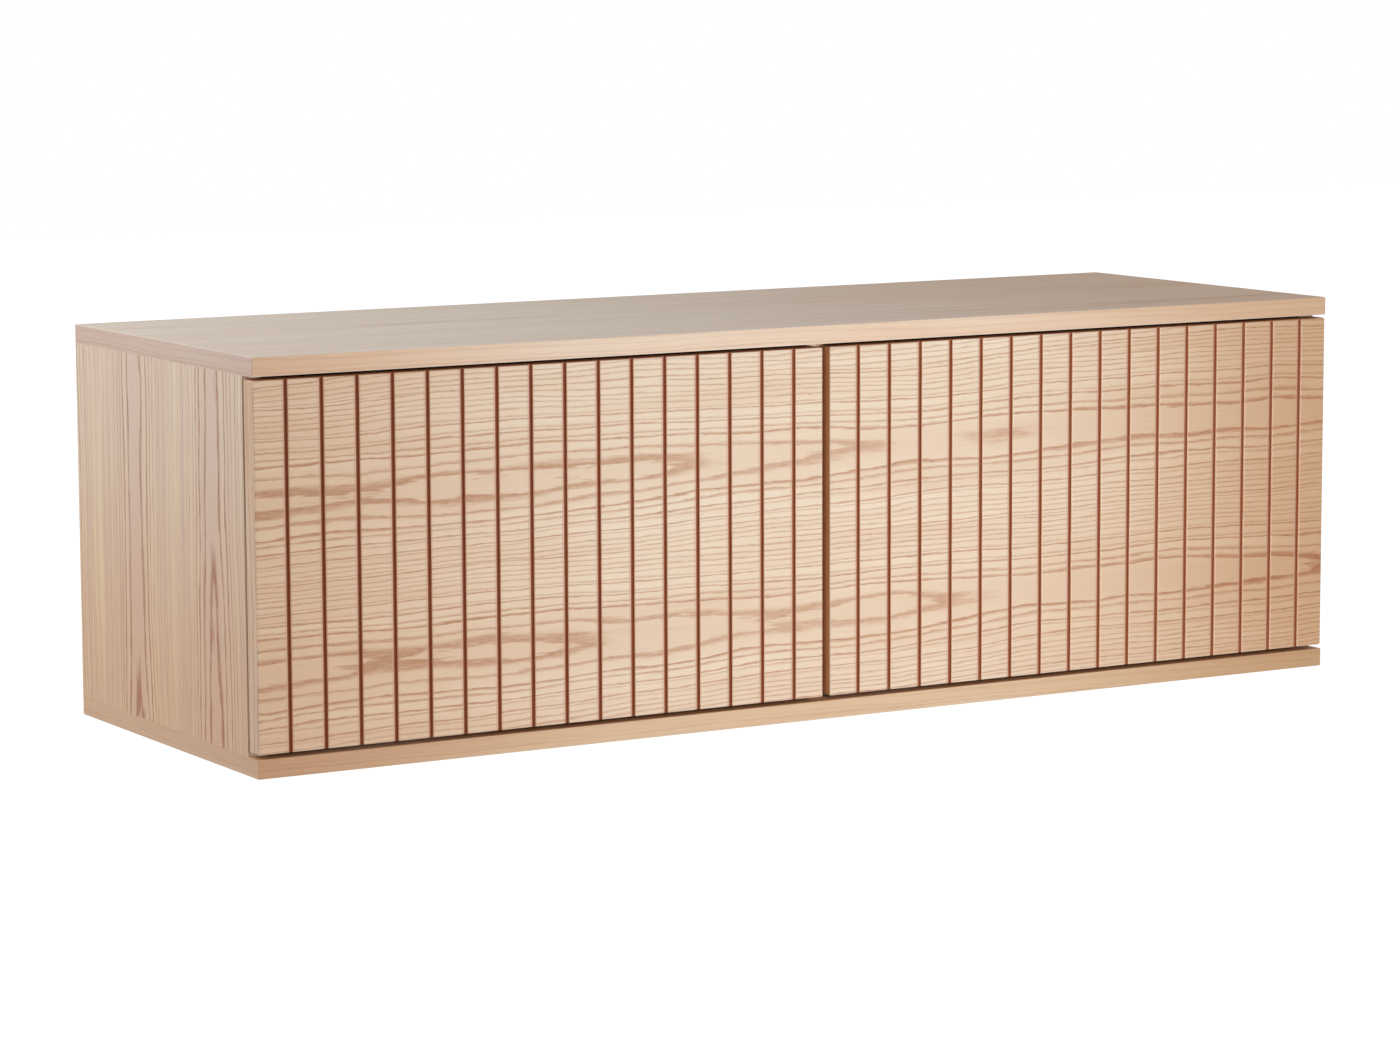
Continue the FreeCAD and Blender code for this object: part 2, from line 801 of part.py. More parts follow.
def hinge_cup(label, level):
    """A cast cup with its screw flange, a slot for the arm and a cross bore for the pin."""
    item = body(label)
    round_plan = sketch(item, "XZ_Plane", door_back)
    circles(round_plan, [(cup_x, level)], s.cup_radius)
    pad(item, round_plan, s.cup_depth, -1)
    rim = sketch(item, "XZ_Plane", door_back)
    circles(rim, [(cup_x, level)], s.cup_radius + s.flange_rim)
    pad(item, rim, s.flange_thickness, 1)
    wings = sketch(item, "XZ_Plane", door_back)
    wing_reach = s.cup_screw_spacing / 2 + s.flange_width / 2
    across = (cup_screw_x - s.flange_width / 2, cup_screw_x + s.flange_width / 2)
    rectangle(wings, across, (level - wing_reach, level + wing_reach))
    pad(item, wings, s.flange_thickness, 1)
    tips = (level - wing_reach, level + wing_reach)

    def wing_corner(edge):
        return runs_along(edge, "y") and any(near(edge.CenterOfMass.z, tip) for tip in tips)

    ease(item, s.flange_round, wing_corner)
    flange_rear = door_back + s.flange_thickness
    slot = sketch(item, "XZ_Plane", flange_rear)
    slot_half = s.arm_width / 2 + s.arm_side_play
    slot_start = cup_x - s.cup_radius - s.flange_rim
    rectangle(slot, (slot_start, arm_far + s.arm_end_play), (level - slot_half, level + slot_half))
    pocket(item, slot, s.flange_thickness + s.cup_depth - s.cup_floor, -1)
    pin_hole = s.pin_radius + s.pin_clearance
    drill(item, "XY_Plane", level + s.pin_length / 2, [(pivot_x, pivot_y)], pin_hole, s.pin_length, -1)
    shift = s.cup_screw_spacing / 2
    holes = [(cup_screw_x, level - shift), (cup_screw_x, level + shift)]
    radius = s.cup_screw_radius + s.joint_clearance
    drill(item, "XZ_Plane", flange_rear, holes, radius, s.flange_thickness, -1)
    return item


def hinge_pin(label, level):
    return rod((pivot_x, pivot_y, level - s.pin_length / 2), "+Z", s.pin_radius, s.pin_length, label)


def hinge_arm(label, level):
    """A bent strip: an eye round the pin, across the cup, then back along the mounting plate."""
    item = body(label)
    low = level - s.arm_width / 2
    web = s.arm_thickness / 2
    strip = sketch(item, "XY_Plane", low)
    polygon(strip, [
        (pivot_x, pivot_y - web),
        (arm_far, pivot_y - web),
        (arm_far, arm_rear),
        (arm_near, arm_rear),
        (arm_near, pivot_y + web),
        (pivot_x, pivot_y + web),
    ])
    pad(item, strip, s.arm_width)
    eye = sketch(item, "XY_Plane", low)
    circles(eye, [(pivot_x, pivot_y)], s.eye_radius)
    pad(item, eye, s.arm_width)

    def elbow(x, y):
        def test(edge):
            middle = edge.CenterOfMass
            return runs_along(edge, "z") and near(middle.x, x) and near(middle.y, y)
        return test

    ease(item, s.arm_bend + s.arm_thickness, elbow(arm_far, pivot_y - web))
    ease(item, s.arm_bend, elbow(arm_near, pivot_y + web))
    pin_hole = s.pin_radius + s.pin_clearance
    drill(item, "XY_Plane", low, [(pivot_x, pivot_y)], pin_hole, s.arm_width, 1)
    screw_hole = s.arm_screw_radius + s.joint_clearance
    drill(item, "YZ_Plane", arm_near, [(arm_screw_y, level)], screw_hole, s.arm_thickness, 1)
    return item


def hinge_plate(label, level):
    """Two screw wings on the side panel and the raised block that carries the arm."""
    item = body(label)
    wing = sketch(item, "YZ_Plane", -inner)
    wing_y = (plate_screw_y - s.plate_wing_width / 2, plate_screw_y + s.plate_wing_width / 2)
    wing_z = (level - s.plate_wing_length / 2, level + s.plate_wing_length / 2)
    rectangle(wing, wing_y, wing_z)
    pad(item, wing, s.plate_wing_thickness)
    ease(item, s.plate_round, lambda edge: runs_along(edge, "x"))
    rise = sketch(item, "YZ_Plane", -inner)
    rise_half = s.plate_block_width / 2
    rectangle(rise, (carcass_front + s.plate_block_start, arm_rear), (level - rise_half, level + rise_half))
    pad(item, rise, s.plate_stand)
    shift = s.plate_screw_spacing / 2
    holes = [(plate_screw_y, level - shift), (plate_screw_y, level + shift)]
    radius = s.plate_screw_radius + s.joint_clearance
    drill(item, "YZ_Plane", -inner, holes, radius, s.plate_wing_thickness, 1)
    arm_hole = s.arm_screw_radius + s.joint_clearance
    arm_depth = s.arm_screw_length - s.arm_thickness
    drill(item, "YZ_Plane", arm_near, [(arm_screw_y, level)], arm_hole, arm_depth, -1)
    return item


# Push latches

def latch_housing(label):
    rear = latch_front + s.latch_length
    x = (-half_board - s.latch_thickness, -half_board)
    item = block(label, x, (latch_front, rear), (latch_z - s.latch_height / 2, latch_z + s.latch_height / 2))
    ease(item, s.latch_round, lambda edge: near(edge.CenterOfMass.x, x[0]))
    ears = sketch(item, "YZ_Plane", -half_board)
    ear_y = (latch_ear_middle - s.latch_ear_length / 2, latch_ear_middle + s.latch_ear_length / 2)
    rectangle(ears, ear_y, (latch_z - s.latch_ear_height / 2, latch_z + s.latch_ear_height / 2))
    pad(item, ears, s.latch_ear_thickness, -1)
    bore = s.plunger_radius + s.plunger_clearance
    drill(item, "XZ_Plane", latch_front, [(latch_x, latch_z)], bore, s.plunger_bore_depth, 1)
    holes = [(latch_ear_middle, z) for z in latch_screw_levels()]
    radius = s.latch_screw_radius + s.joint_clearance
    drill(item, "YZ_Plane", latch_ear_face, holes, radius, s.latch_ear_thickness, 1)
    return item


def latch_pad(label):
    """The soft disc that meets the strike plate."""
    item = body(label)
    nose = strike_face + s.latch_pad_gap
    plan = sketch(item, "XZ_Plane", nose)
    circles(plan, [(latch_x, latch_z)], s.latch_pad_radius)
    pad(item, plan, s.latch_pad_thickness, 1)
    ease(item, s.latch_pad_round, lambda edge: near(edge.CenterOfMass.y, nose) and edge.isClosed())
    return item


def latch_plunger(label):
    start = strike_face + s.latch_pad_gap + s.latch_pad_thickness
    return rod((latch_x, start, latch_z), "+Y", s.plunger_radius, s.plunger_length, label)


def strike_plate(label):
    x = (latch_x - s.strike_width / 2, latch_x + s.strike_width / 2)
    z = (latch_z - s.strike_height / 2, latch_z + s.strike_height / 2)
    item = block(label, x, (door_back, strike_face), z)
    ease(item, s.strike_round, lambda edge: runs_along(edge, "y"))
    return item


def build():
    cover("top_panel", under_top, top, under_top, 1)
    cover("bottom_panel", bottom, over_bottom, over_bottom, -1)
    divider_panel("centre_divider")
    back_board("back_panel")
    hanging_cleat("hanging_cleat")
    wall_cleat("wall_cleat")
    cleat_screws("cleat_screws")
    dowels("carcass_dowels")
    cam_fittings("cam_bolts", "cam_housings")

    hand = {
        "side": side_panel("left_side"),
        "shelf": shelf("left_shelf"),
        "shelf_supports": shelf_supports("left_shelf_supports"),
        "door": door("left_door"),
        "strike_plate": strike_plate("left_strike_plate"),
        "latch_housing": latch_housing("left_latch_housing"),
        "latch_plunger": latch_plunger("left_latch_plunger"),
        "latch_pad": latch_pad("left_latch_pad"),
    }
    for name, level in hinge_levels.items():
        hand[f"{name}_hinge_cup"] = hinge_cup(f"left_{name}_hinge_cup", level)
        hand[f"{name}_hinge_pin"] = hinge_pin(f"left_{name}_hinge_pin", level)
        hand[f"{name}_hinge_arm"] = hinge_arm(f"left_{name}_hinge_arm", level)
        hand[f"{name}_hinge_plate"] = hinge_plate(f"left_{name}_hinge_plate", level)
    flange_rear = door_back + s.flange_thickness
    wing_face = -inner + s.plate_wing_thickness
    fixings = {
        "cup_screws": [screw((x, flange_rear, z), "-Y", "cup_screw") for x, z in cup_screw_places()],
        "plate_screws": [
            screw((wing_face, plate_screw_y, z), "-X", "plate_screw") for z in plate_screw_levels()
        ],
        "arm_screws": [screw((arm_far, arm_screw_y, z), "-X", "arm_screw") for z in hinge_levels.values()],
        "latch_screws": [
            screw((latch_ear_face, latch_ear_middle, z), "+X", "latch_screw") for z in latch_screw_levels()
        ],
    }
    for name, pieces in fixings.items():
        hand[name] = group(f"left_{name}", pieces)
    for name, piece in hand.items():
        mirror(f"right_{name}", piece)


NODES = (
    "top_panel", "bottom_panel", "centre_divider", "back_panel", "hanging_cleat", "wall_cleat",
    "cleat_screws", "carcass_dowels", "cam_bolts", "cam_housings",
)
HAND_NODES = (
    "side", "shelf", "shelf_supports", "door", "strike_plate", "latch_housing", "latch_plunger",
    "latch_pad", "upper_hinge_cup", "upper_hinge_pin", "upper_hinge_arm", "upper_hinge_plate",
    "lower_hinge_cup", "lower_hinge_pin", "lower_hinge_arm", "lower_hinge_plate", "cup_screws",
    "plate_screws", "arm_screws", "latch_screws",
)


def export():
    """Writes each named piece, once the whole document is sound."""
    doc.recompute()
    for item in doc.Objects:
        if {"Invalid", "Error"} & set(item.State):
            raise ValueError(f"{item.Label} failed: {item.State}")
    names = list(NODES) + [f"{side}_{name}" for side in ("left", "right") for name in HAND_NODES]
    pieces = {name: doc.getObjectsByLabel(name)[0] for name in names}
    for name, piece in pieces.items():
        if piece.Shape.isNull() or not piece.Shape.isValid():
            raise ValueError(f"{name} has no sound shape")
    os.makedirs("parts", exist_ok=True)
    for name, piece in pieces.items():
        piece.Shape.exportStep(f"parts/{name}.step")


build()
export()
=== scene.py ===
# %% [markdown]
# # A wall-hung media console in ash veneer
# The console is a long low box that hangs on a wall: veneered boards, a divider, two
# grooved doors on concealed hinges, and the fittings that hold it all together. The
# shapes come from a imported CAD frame, so this lesson is mostly about finishes. Each step
# says what the surface is on the real object, how it could be made, and why this way.

# %% Load the frame
import math

import bpy
from mathutils import Matrix, Vector


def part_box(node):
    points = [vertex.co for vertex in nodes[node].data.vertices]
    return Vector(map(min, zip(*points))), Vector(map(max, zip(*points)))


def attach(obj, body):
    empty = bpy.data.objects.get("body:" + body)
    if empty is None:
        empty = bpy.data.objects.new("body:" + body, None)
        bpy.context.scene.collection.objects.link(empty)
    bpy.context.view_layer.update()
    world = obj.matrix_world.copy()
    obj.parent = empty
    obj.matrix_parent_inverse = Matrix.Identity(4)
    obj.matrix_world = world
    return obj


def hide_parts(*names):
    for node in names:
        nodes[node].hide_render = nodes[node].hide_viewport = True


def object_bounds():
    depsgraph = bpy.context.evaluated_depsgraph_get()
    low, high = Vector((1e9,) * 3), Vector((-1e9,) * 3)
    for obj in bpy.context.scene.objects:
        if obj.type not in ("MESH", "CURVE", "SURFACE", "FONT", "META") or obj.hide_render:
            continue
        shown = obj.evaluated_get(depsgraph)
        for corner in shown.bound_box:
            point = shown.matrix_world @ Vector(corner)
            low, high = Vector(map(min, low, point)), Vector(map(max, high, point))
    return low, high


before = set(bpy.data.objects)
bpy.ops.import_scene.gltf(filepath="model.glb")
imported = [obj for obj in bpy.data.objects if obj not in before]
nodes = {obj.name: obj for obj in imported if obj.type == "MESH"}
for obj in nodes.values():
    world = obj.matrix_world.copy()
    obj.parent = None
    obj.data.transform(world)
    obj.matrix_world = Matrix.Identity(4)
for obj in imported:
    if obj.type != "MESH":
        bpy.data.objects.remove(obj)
cad_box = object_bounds()
print("CAD nodes:", len(nodes), "box:", cad_box)

# %% [markdown]
# ## The camera
# The picture was taken from the left, a little above the top board, with a long lens.
# The place and angles below were found by fitting the box's visible corners and the 32
# grooves to the picture. Turning the camera in three plain steps (heading, tilt, roll)
# keeps each angle readable, which one finished matrix would not.

# %% Camera
PICTURE_WIDTH = 1400
FOCAL_PIXELS = 4494.0
CAMERA_PLACE = (-2.2669, -4.0098, 0.4746)
HEADING = 0.53234
TILT_DOWN = 0.13172
ROLL = -0.00383
FARTHEST = 100

lens = bpy.data.cameras.new("long_lens")
lens.sensor_fit = "HORIZONTAL"
lens.lens = FOCAL_PIXELS / PICTURE_WIDTH * lens.sensor_width
lens.clip_end = FARTHEST
camera = bpy.data.objects.new("camera", lens)
bpy.context.scene.collection.objects.link(camera)
camera.matrix_world = (
    Matrix.Translation(CAMERA_PLACE)
    @ Matrix.Rotation(-HEADING, 4, "Z")
    @ Matrix.Rotation(math.pi / 2 - TILT_DOWN, 4, "X")
    @ Matrix.Rotation(ROLL, 4, "Z")
)
bpy.context.scene.camera = camera
bpy.context.scene.view_settings.view_transform = "Standard"
print("lens:", round(lens.lens, 2), "mm")

# %% [markdown]
# ## Three small helpers
# Colours are written as sRGB hex values, as in any paint program, and the shader wants
# linear light, so one function converts them. The second adds one shader node with its
# settings, its values and its links, so that a material reads from top to bottom. The
# third gives a named, empty material to fill.

# %% Helpers
def colour(hex_value):
    """A hex sRGB colour as linear red, green, blue and alpha."""
    parts = [int(hex_value[i:i + 2], 16) / 255 for i in (0, 2, 4)]
    return [p / 12.92 if p <= 0.04045 else ((p + 0.055) / 1.055) ** 2.4 for p in parts] + [1]


def add(tree, kind, inputs=None, **settings):
    """One node: settings are its options, inputs its values or links. Gives its first output."""
    made = tree.nodes.new("ShaderNode" + kind)
    for name, value in settings.items():
        setattr(made, name, value)
    for key, value in (inputs or {}).items():
        socket = next(s for i, s in enumerate(made.inputs) if s.enabled and key in (i, s.name))
        if isinstance(value, bpy.types.NodeSocket):
            tree.links.new(value, socket)
        else:
            socket.default_value = value
    return next((s for s in made.outputs if s.enabled), None)


def empty_finish(name):
    """An empty material, ready for its nodes."""
    made = bpy.data.materials.new(name)
    made.use_nodes = True
    made.node_tree.nodes.clear()
    return made, made.node_tree


print("linear mid grey:", [round(x, 3) for x in colour("808080")])

# %% [markdown]
# ## Studio
# The picture is a cut-out on white. The world gives an even fill, and shows as plain
# white to the camera and in reflections, which the Light Path node tells apart from the
# rays that carry light. The floor is pale paper well under the console: a glow that only
# those same rays see lifts it to white, and the console's shadow still falls on it.

# %% World
FILL = 0.34


def seen_directly(tree):
    """1 for the rays that show a backdrop, to the eye, in a mirror or through glass."""
    path = add(tree, "LightPath").node.outputs
    seen = add(tree, "Math", {0: path["Is Camera Ray"], 1: path["Is Glossy Ray"]}, operation="MAXIMUM")
    return add(tree, "Math", {0: seen, 1: path["Is Transmission Ray"]}, operation="MAXIMUM")


world = bpy.data.worlds.new("studio")
bpy.context.scene.world = world
world.use_nodes = True
sky = world.node_tree
sky.nodes.clear()
level = add(sky, "Mix", {"Factor": seen_directly(sky), "A": FILL, "B": 1.0}, data_type="FLOAT")
light = add(sky, "Background", {"Color": colour("FFFFFF"), "Strength": level})
add(sky, "OutputWorld", {"Surface": light})
print("world fill:", FILL)

# %% Floor
FLOOR_DROP = 0.62
FLOOR_SIZE = 30
PAPER_GLOW = 0.80

bpy.ops.object.select_all(action="DESELECT")
bpy.ops.mesh.primitive_plane_add(size=FLOOR_SIZE, location=(0, 0, cad_box[0][2] - FLOOR_DROP))
floor = bpy.context.object
floor.name = "floor"
# Uncoated paper is dead matt: the eye gets the soft shadow and no reflection.
paper, tree = empty_finish("white_paper_floor")
glow = add(tree, "Math", {0: seen_directly(tree), 1: PAPER_GLOW}, operation="MULTIPLY")
matt = add(tree, "BsdfDiffuse", {"Color": colour("EDEDED")})
lift = add(tree, "Emission", {"Color": colour("FFFFFF"), "Strength": glow})
both = add(tree, "AddShader", {0: matt, 1: lift})
add(tree, "OutputMaterial", {"Surface": both})
floor.data.materials.append(paper)
print("floor at", round(floor.location.z, 3))

# %% [markdown]
# ## Lamps
# The doors are brightest in the middle and fall off to both ends, so a fairly near square
# lamp stands before them. The second stands to the left and behind the line of the doors:
# it lights the side and skims the top, and leaves the grooves to the first lamp. Both are
# soft, as a cloth-fronted box is, so no edge of the console throws a hard shadow.

# %% Lamps
LAMPS = {
    "front_softbox": dict(place=(0.12, -1.6, -0.06), aim=(0.12, -0.4, -0.06), size=0.7, watts=10.9),
    "left_softbox": dict(place=(-1.9, 0.25, 1.0), aim=(-0.55, -0.1, 0.0), size=0.9, watts=16.8),
}


def softbox(name, place, aim, size, watts):
    """A square lamp with a cloth front, turned towards a point."""
    lamp = bpy.data.lights.new(name, "AREA")
    lamp.shape = "SQUARE"
    lamp.size = size
    lamp.energy = watts
    stand = bpy.data.objects.new(name, lamp)
    turn = (Vector(aim) - Vector(place)).to_track_quat("-Z", "Y")
    stand.matrix_world = Matrix.Translation(place) @ turn.to_matrix().to_4x4()
    stand.visible_camera = False
    bpy.context.scene.collection.objects.link(stand)


for name, lamp in LAMPS.items():
    softbox(name, **lamp)
print("lamps:", ", ".join(LAMPS))

# %% [markdown]
# ## Where a point lies on its board
# Veneer is a thin leaf of wood, so its pattern is flat: it runs along and across each
# face, and an edge strip has its own direction. The node setup below turns the object's
# coordinates into millimetres, looks at which way the surface faces, and picks the two
# directions to use there. This needs no unwrapping, and sizes stay real millimetres.

# %% Board places
MM = 1000
FACING = 0.708
LONG_BOARD = {"X": "YZ", "Y": "XZ", "Z": "XY"}
DOOR = {"X": "ZY", "Y": "XZ", "Z": "XY"}
STANDING_BOARD = {"X": "ZY", "Y": "ZX", "Z": "YX"}


def board_place(tree, faces):
    """A point on its board in mm, as along, across and into it, its X, Y and Z, and its facing."""
    where = add(tree, "TexCoord").node.outputs
    place = add(tree, "VectorMath", {0: where["Object"], 1: (MM, MM, MM)}, operation="MULTIPLY")
    axes = dict(zip("XYZ", add(tree, "SeparateXYZ", {0: place}).node.outputs))
    facing = dict(zip("XYZ", add(tree, "SeparateXYZ", {0: where["Normal"]}).node.outputs))
    board = None
    for side in "ZYX":
        along, across = faces[side]
        here = add(tree, "CombineXYZ", {0: axes[along], 1: axes[across], 2: axes[side]})
        either = add(tree, "Math", {0: facing[side]}, operation="ABSOLUTE")
        chosen = add(tree, "Math", {0: either, 1: FACING}, operation="GREATER_THAN")
        pick = {"Factor": chosen, "A": board, "B": here}
        board = here if board is None else add(tree, "Mix", pick, data_type="VECTOR")
    return board, axes, facing


print("grain along, across, by facing:", DOOR)

# %% [markdown]
# ## Streaks
# Almost everything in wood is long and thin, so one helper stretches a noise pattern
# along the grain to a given length and width in millimetres. The fourth dimension of the
# noise serves as a seed: each use adds a number of its own to its board's seed, and so gets
# a pattern of its own that never changes. Noise keeps near its middle value, so the part
# that it does use is spread over the whole range.

# %% Streaks
NOISE_LOW = 0.25
NOISE_HIGH = 0.75


def streaks(tree, board, size, seed, low, high):
    """A soft pattern, size mm long and wide along the grain, running from low to high."""
    long, wide = size
    at = add(tree, "VectorMath", {0: board, 1: (1 / long, 1 / wide, 0)}, operation="MULTIPLY")
    settings = {"Vector": at, "W": seed, "Scale": 1, "Detail": 2, "Roughness": 0.55}
    cloud = add(tree, "TexNoise", settings, noise_dimensions="4D")
    return add(tree, "MapRange", {"Value": cloud, 1: NOISE_LOW, 2: NOISE_HIGH, 3: low, 4: high})


print("streaks use the noise from", NOISE_LOW, "to", NOISE_HIGH)

# %% [markdown]
# ## The leaf of veneer
# A board wider than a trunk gets several leaves side by side. The first helper finds
# which leaf a point is on and how far it lies from that leaf's heart, the line where the
# saw passed closest to the trunk's middle. The heart isn't a ruled line: it leans a
# little, wanders over half a metre, and ripples over a few millimetres.

# %% Leaf
WANDER = (480, 110)
RIPPLE = (14, 6)


def leaf_place(tree, board, cut):
    """The number of the veneer leaf at a point, and the distance from its heart in mm."""
    along, across, _ = add(tree, "SeparateXYZ", {0: board}).node.outputs
    leaves = add(tree, "Math", {0: across, 1: cut["first_leaf"]}, operation="SUBTRACT")
    leaves = add(tree, "Math", {0: leaves, 1: cut["leaf"]}, operation="DIVIDE")
    number = add(tree, "Math", {0: leaves}, operation="FLOOR")
    part = add(tree, "Math", {0: leaves}, operation="FRACT")
    middle = -cut["leaf"] / 2
    away = add(tree, "Math", {0: part, 1: cut["leaf"], 2: middle}, operation="MULTIPLY_ADD")
    away = add(tree, "Math", {0: along, 1: -cut["slope"], 2: away}, operation="MULTIPLY_ADD")
    for size, by in ((WANDER, cut["wander"]), (RIPPLE, cut["ripple"])):
        off = streaks(tree, board, size, cut["seed"] + by, -by, by)
        away = add(tree, "Math", {0: away, 1: off}, operation="ADD")
    return number, away, along


print("the heart wanders over", WANDER, "mm and ripples over", RIPPLE, "mm")

# %% [markdown]
# ## Growth rings
# A trunk is a cone of yearly shells, and a flat-sawn leaf cuts it beside its heart. Close
# to the heart the shells lie nearly flat to the cut, so their lines are wide apart and
# close in long pointed flames; further out they stand up and the lines run straight and
# tight. That is geometry, so it is worked out as such: distance from the leaf's heart and
# depth under it give the radius, radius over ring width gives the year, and a slow drift
# along the board makes the flames. Painted stripes would not close into flames. Three
# sizes of streak then make good and bad years, wavering lines and frayed ones.

# %% Year
LEAF_SPREAD = 1700
SWELL = (460, 0.1)
WAVER = (90, 9)
WAVER_YEARS = 0.18
FRAY = (22, 2.2)
FRAY_YEARS = 0.09


def year_number(tree, board, leaf, cut):
    """How many years of growth lie between the trunk's middle and a point."""
    number, away, along = leaf
    deep = cut["depth"] ** 2
    squared = add(tree, "Math", {0: away, 1: away, 2: deep}, operation="MULTIPLY_ADD")
    radius = add(tree, "Math", {0: squared}, operation="SQRT")
    year = add(tree, "Math", {0: radius, 1: cut["spacing"]}, operation="DIVIDE")
    draw = add(tree, "Math", {0: number, 1: cut["seed"]}, operation="ADD")
    draw = add(tree, "TexWhiteNoise", {"W": draw}, noise_dimensions="1D").node.outputs["Value"]
    along = add(tree, "Math", {0: draw, 1: LEAF_SPREAD, 2: along}, operation="MULTIPLY_ADD")
    year = add(tree, "Math", {0: along, 1: 1 / cut["tongue"], 2: year}, operation="MULTIPLY_ADD")
    trunk = add(tree, "CombineXYZ", {0: along, 1: number})
    uneven = ((trunk, SWELL, cut["swell"]), (board, WAVER, WAVER_YEARS), (board, FRAY, FRAY_YEARS))
    for place, size, by in uneven:
        off = streaks(tree, place, size, cut["seed"] + by, -by, by)
        year = add(tree, "Math", {0: year, 1: off}, operation="ADD")
    return year


print("leaves are drawn from", LEAF_SPREAD, "mm of trunk")

# %% [markdown]
# ## Early wood
# Ash is ring-porous: each spring starts with a row of open brown pores, sharply, and fades
# into dense pale summer wood. A one-dimensional Voronoi pattern over the year number gives
# each year its own start and its own vigour, and two smooth steps make the sharp beginning
# and the slow end. Long patches of the board are stronger than others, and away from the
# heart, where lines run tight, they are calmer. The pattern also drives gloss and relief,
# since pores are duller and lie a little lower than the rest.

# %% Early wood
RING_UNEVENNESS = 0.5
SPRING_START = -0.08
SPRING_FULL = 0.06
LEAST_VIGOUR = 0.5
PATCH = (240, 24)
LEAST_PATCH = 0.6
CALM_FROM = 18
CALM_SHARE = 0.4


def early_wood(tree, board, leaf, cut):
    """1 in the brown early wood of each year, 0 in its pale late wood."""
    year = year_number(tree, board, leaf, cut)
    settings = {"W": year, "Scale": 1, "Randomness": RING_UNEVENNESS}
    rings = add(tree, "TexVoronoi", settings, voronoi_dimensions="1D").node.outputs
    since = add(tree, "Math", {0: year, 1: rings["W"]}, operation="SUBTRACT")
    start = {"Value": since, 1: SPRING_START, 2: SPRING_FULL}
    early = add(tree, "MapRange", start, interpolation_type="SMOOTHSTEP")
    fading = {"Value": since, 1: SPRING_FULL, 2: cut["fade"], 3: 1.0, 4: 0.0}
    end = add(tree, "MapRange", fading, interpolation_type="SMOOTHSTEP")
    vigour = add(tree, "SeparateXYZ", {0: rings["Color"]})
    vigour = add(tree, "MapRange", {"Value": vigour, 3: LEAST_VIGOUR, 4: 1.0})
    from_heart = add(tree, "Math", {0: leaf[1]}, operation="ABSOLUTE")
    calm = {"Value": from_heart, 1: CALM_FROM, 2: CALM_SHARE * cut["leaf"], 3: 1.0, 4: cut["calm"]}
    calm = add(tree, "MapRange", calm, interpolation_type="SMOOTHSTEP")
    strong = cut["strength"]
    patch = streaks(tree, board, PATCH, cut["seed"] + 3, LEAST_PATCH * strong, strong)
    for share in (end, vigour, calm, patch):
        early = add(tree, "Math", {0: early, 1: share}, operation="MULTIPLY")
    return early


print("a year's early wood is full", SPRING_FULL, "of a ring after its start")

# %% [markdown]
# ## Ground tone and pores
# Between the rings the ground drifts from a paler to a warmer tone, in streaks of two
# widths, and is warmest at a leaf's heart. Pores are short dark dashes, and only early wood
# has them, so they are streaks times the early wood. Real pores are about 0.3 mm wide, and
# these are drawn 0.6 mm wide so that they show.

# %% Ground and pores
DRIFT = (420, 30)
DRIFT_RANGE = (-0.2, 0.8)
BANDS = (260, 10)
BANDS_RANGE = (-0.2, 0.6)
HEART_CORE = 6
HEART_REACH = 40
HEART_WARMTH = 0.85
PORES = (9, 0.6)


def ground_tone(tree, board, leaf, seed, pale, warm):
    """Pale wood that turns warmer in streaks and at the leaf's heart."""
    drift = streaks(tree, board, DRIFT, seed + 5, *DRIFT_RANGE)
    bands = streaks(tree, board, BANDS, seed + 7, *BANDS_RANGE)
    drift = add(tree, "Math", {0: drift, 1: bands}, operation="ADD", use_clamp=True)
    from_heart = add(tree, "Math", {0: leaf[1]}, operation="ABSOLUTE")
    heart = {"Value": from_heart, 1: HEART_CORE, 2: HEART_REACH, 3: HEART_WARMTH, 4: 0.0}
    heart = add(tree, "MapRange", heart, interpolation_type="SMOOTHSTEP")
    drift = add(tree, "Math", {0: drift, 1: heart}, operation="MAXIMUM")
    return add(tree, "Mix", {"Factor": drift, "A": pale, "B": warm}, data_type="RGBA")


def open_pores(tree, board, early, seed):
    """Short dashes along the grain, only in the early wood."""
    pores = streaks(tree, board, PORES, seed + 13, -1.0, 1.0)
    return add(tree, "Math", {0: pores, 1: early}, operation="MULTIPLY", use_clamp=True)


print("pores are drawn", PORES[1], "mm wide")

# %% [markdown]
# ## Warmer ends, painted shade and painted edge highlights
# A board isn't one colour: its ends may be darker, as warmer wood and as painted shade,
# and an edge strip differs from the face beside it. A zone is a tint that grows from one
# place to another along an axis, on the faces that look one way, so that the shift is soft
# and stays off the other faces. The rounded edges get a painted highlight, wood a little
# paler where they catch the light: a place that faces no side squarely is on such an edge.

# %% Tints and edges
SIDES = {"front": ("Y", -1), "left": ("X", -1), "right": ("X", 1), "up": ("Z", 1)}
# Painted highlight on rounded edges: a paler tint where they catch the light.
EDGE_HIGHLIGHT_TINT = (1.09, 1.14, 1.22)
STILL_FLAT = 0.99
FULL_EDGE_HIGHLIGHT = 0.90


def tinted(tree, wood, axes, facing, zones):
    """Wood with each zone's tint laid over it."""
    for side, along, start, stop, tint in zones:
        grown = {"Value": axes[along], 1: start, 2: stop}
        grown = add(tree, "MapRange", grown, interpolation_type="SMOOTHSTEP")
        axis, sign = SIDES[side]
        towards = add(tree, "Math", {0: facing[axis], 1: sign}, operation="MULTIPLY")
        chosen = add(tree, "Math", {0: towards, 1: FACING}, operation="GREATER_THAN")
        grown = add(tree, "Math", {0: grown, 1: chosen}, operation="MULTIPLY")
        tints = {"Factor": grown, "A": colour("FFFFFF"), "B": colour(tint)}
        tint = add(tree, "Mix", tints, data_type="RGBA")
        wood = add(tree, "VectorMath", {0: wood, 1: tint}, operation="MULTIPLY")
    return wood


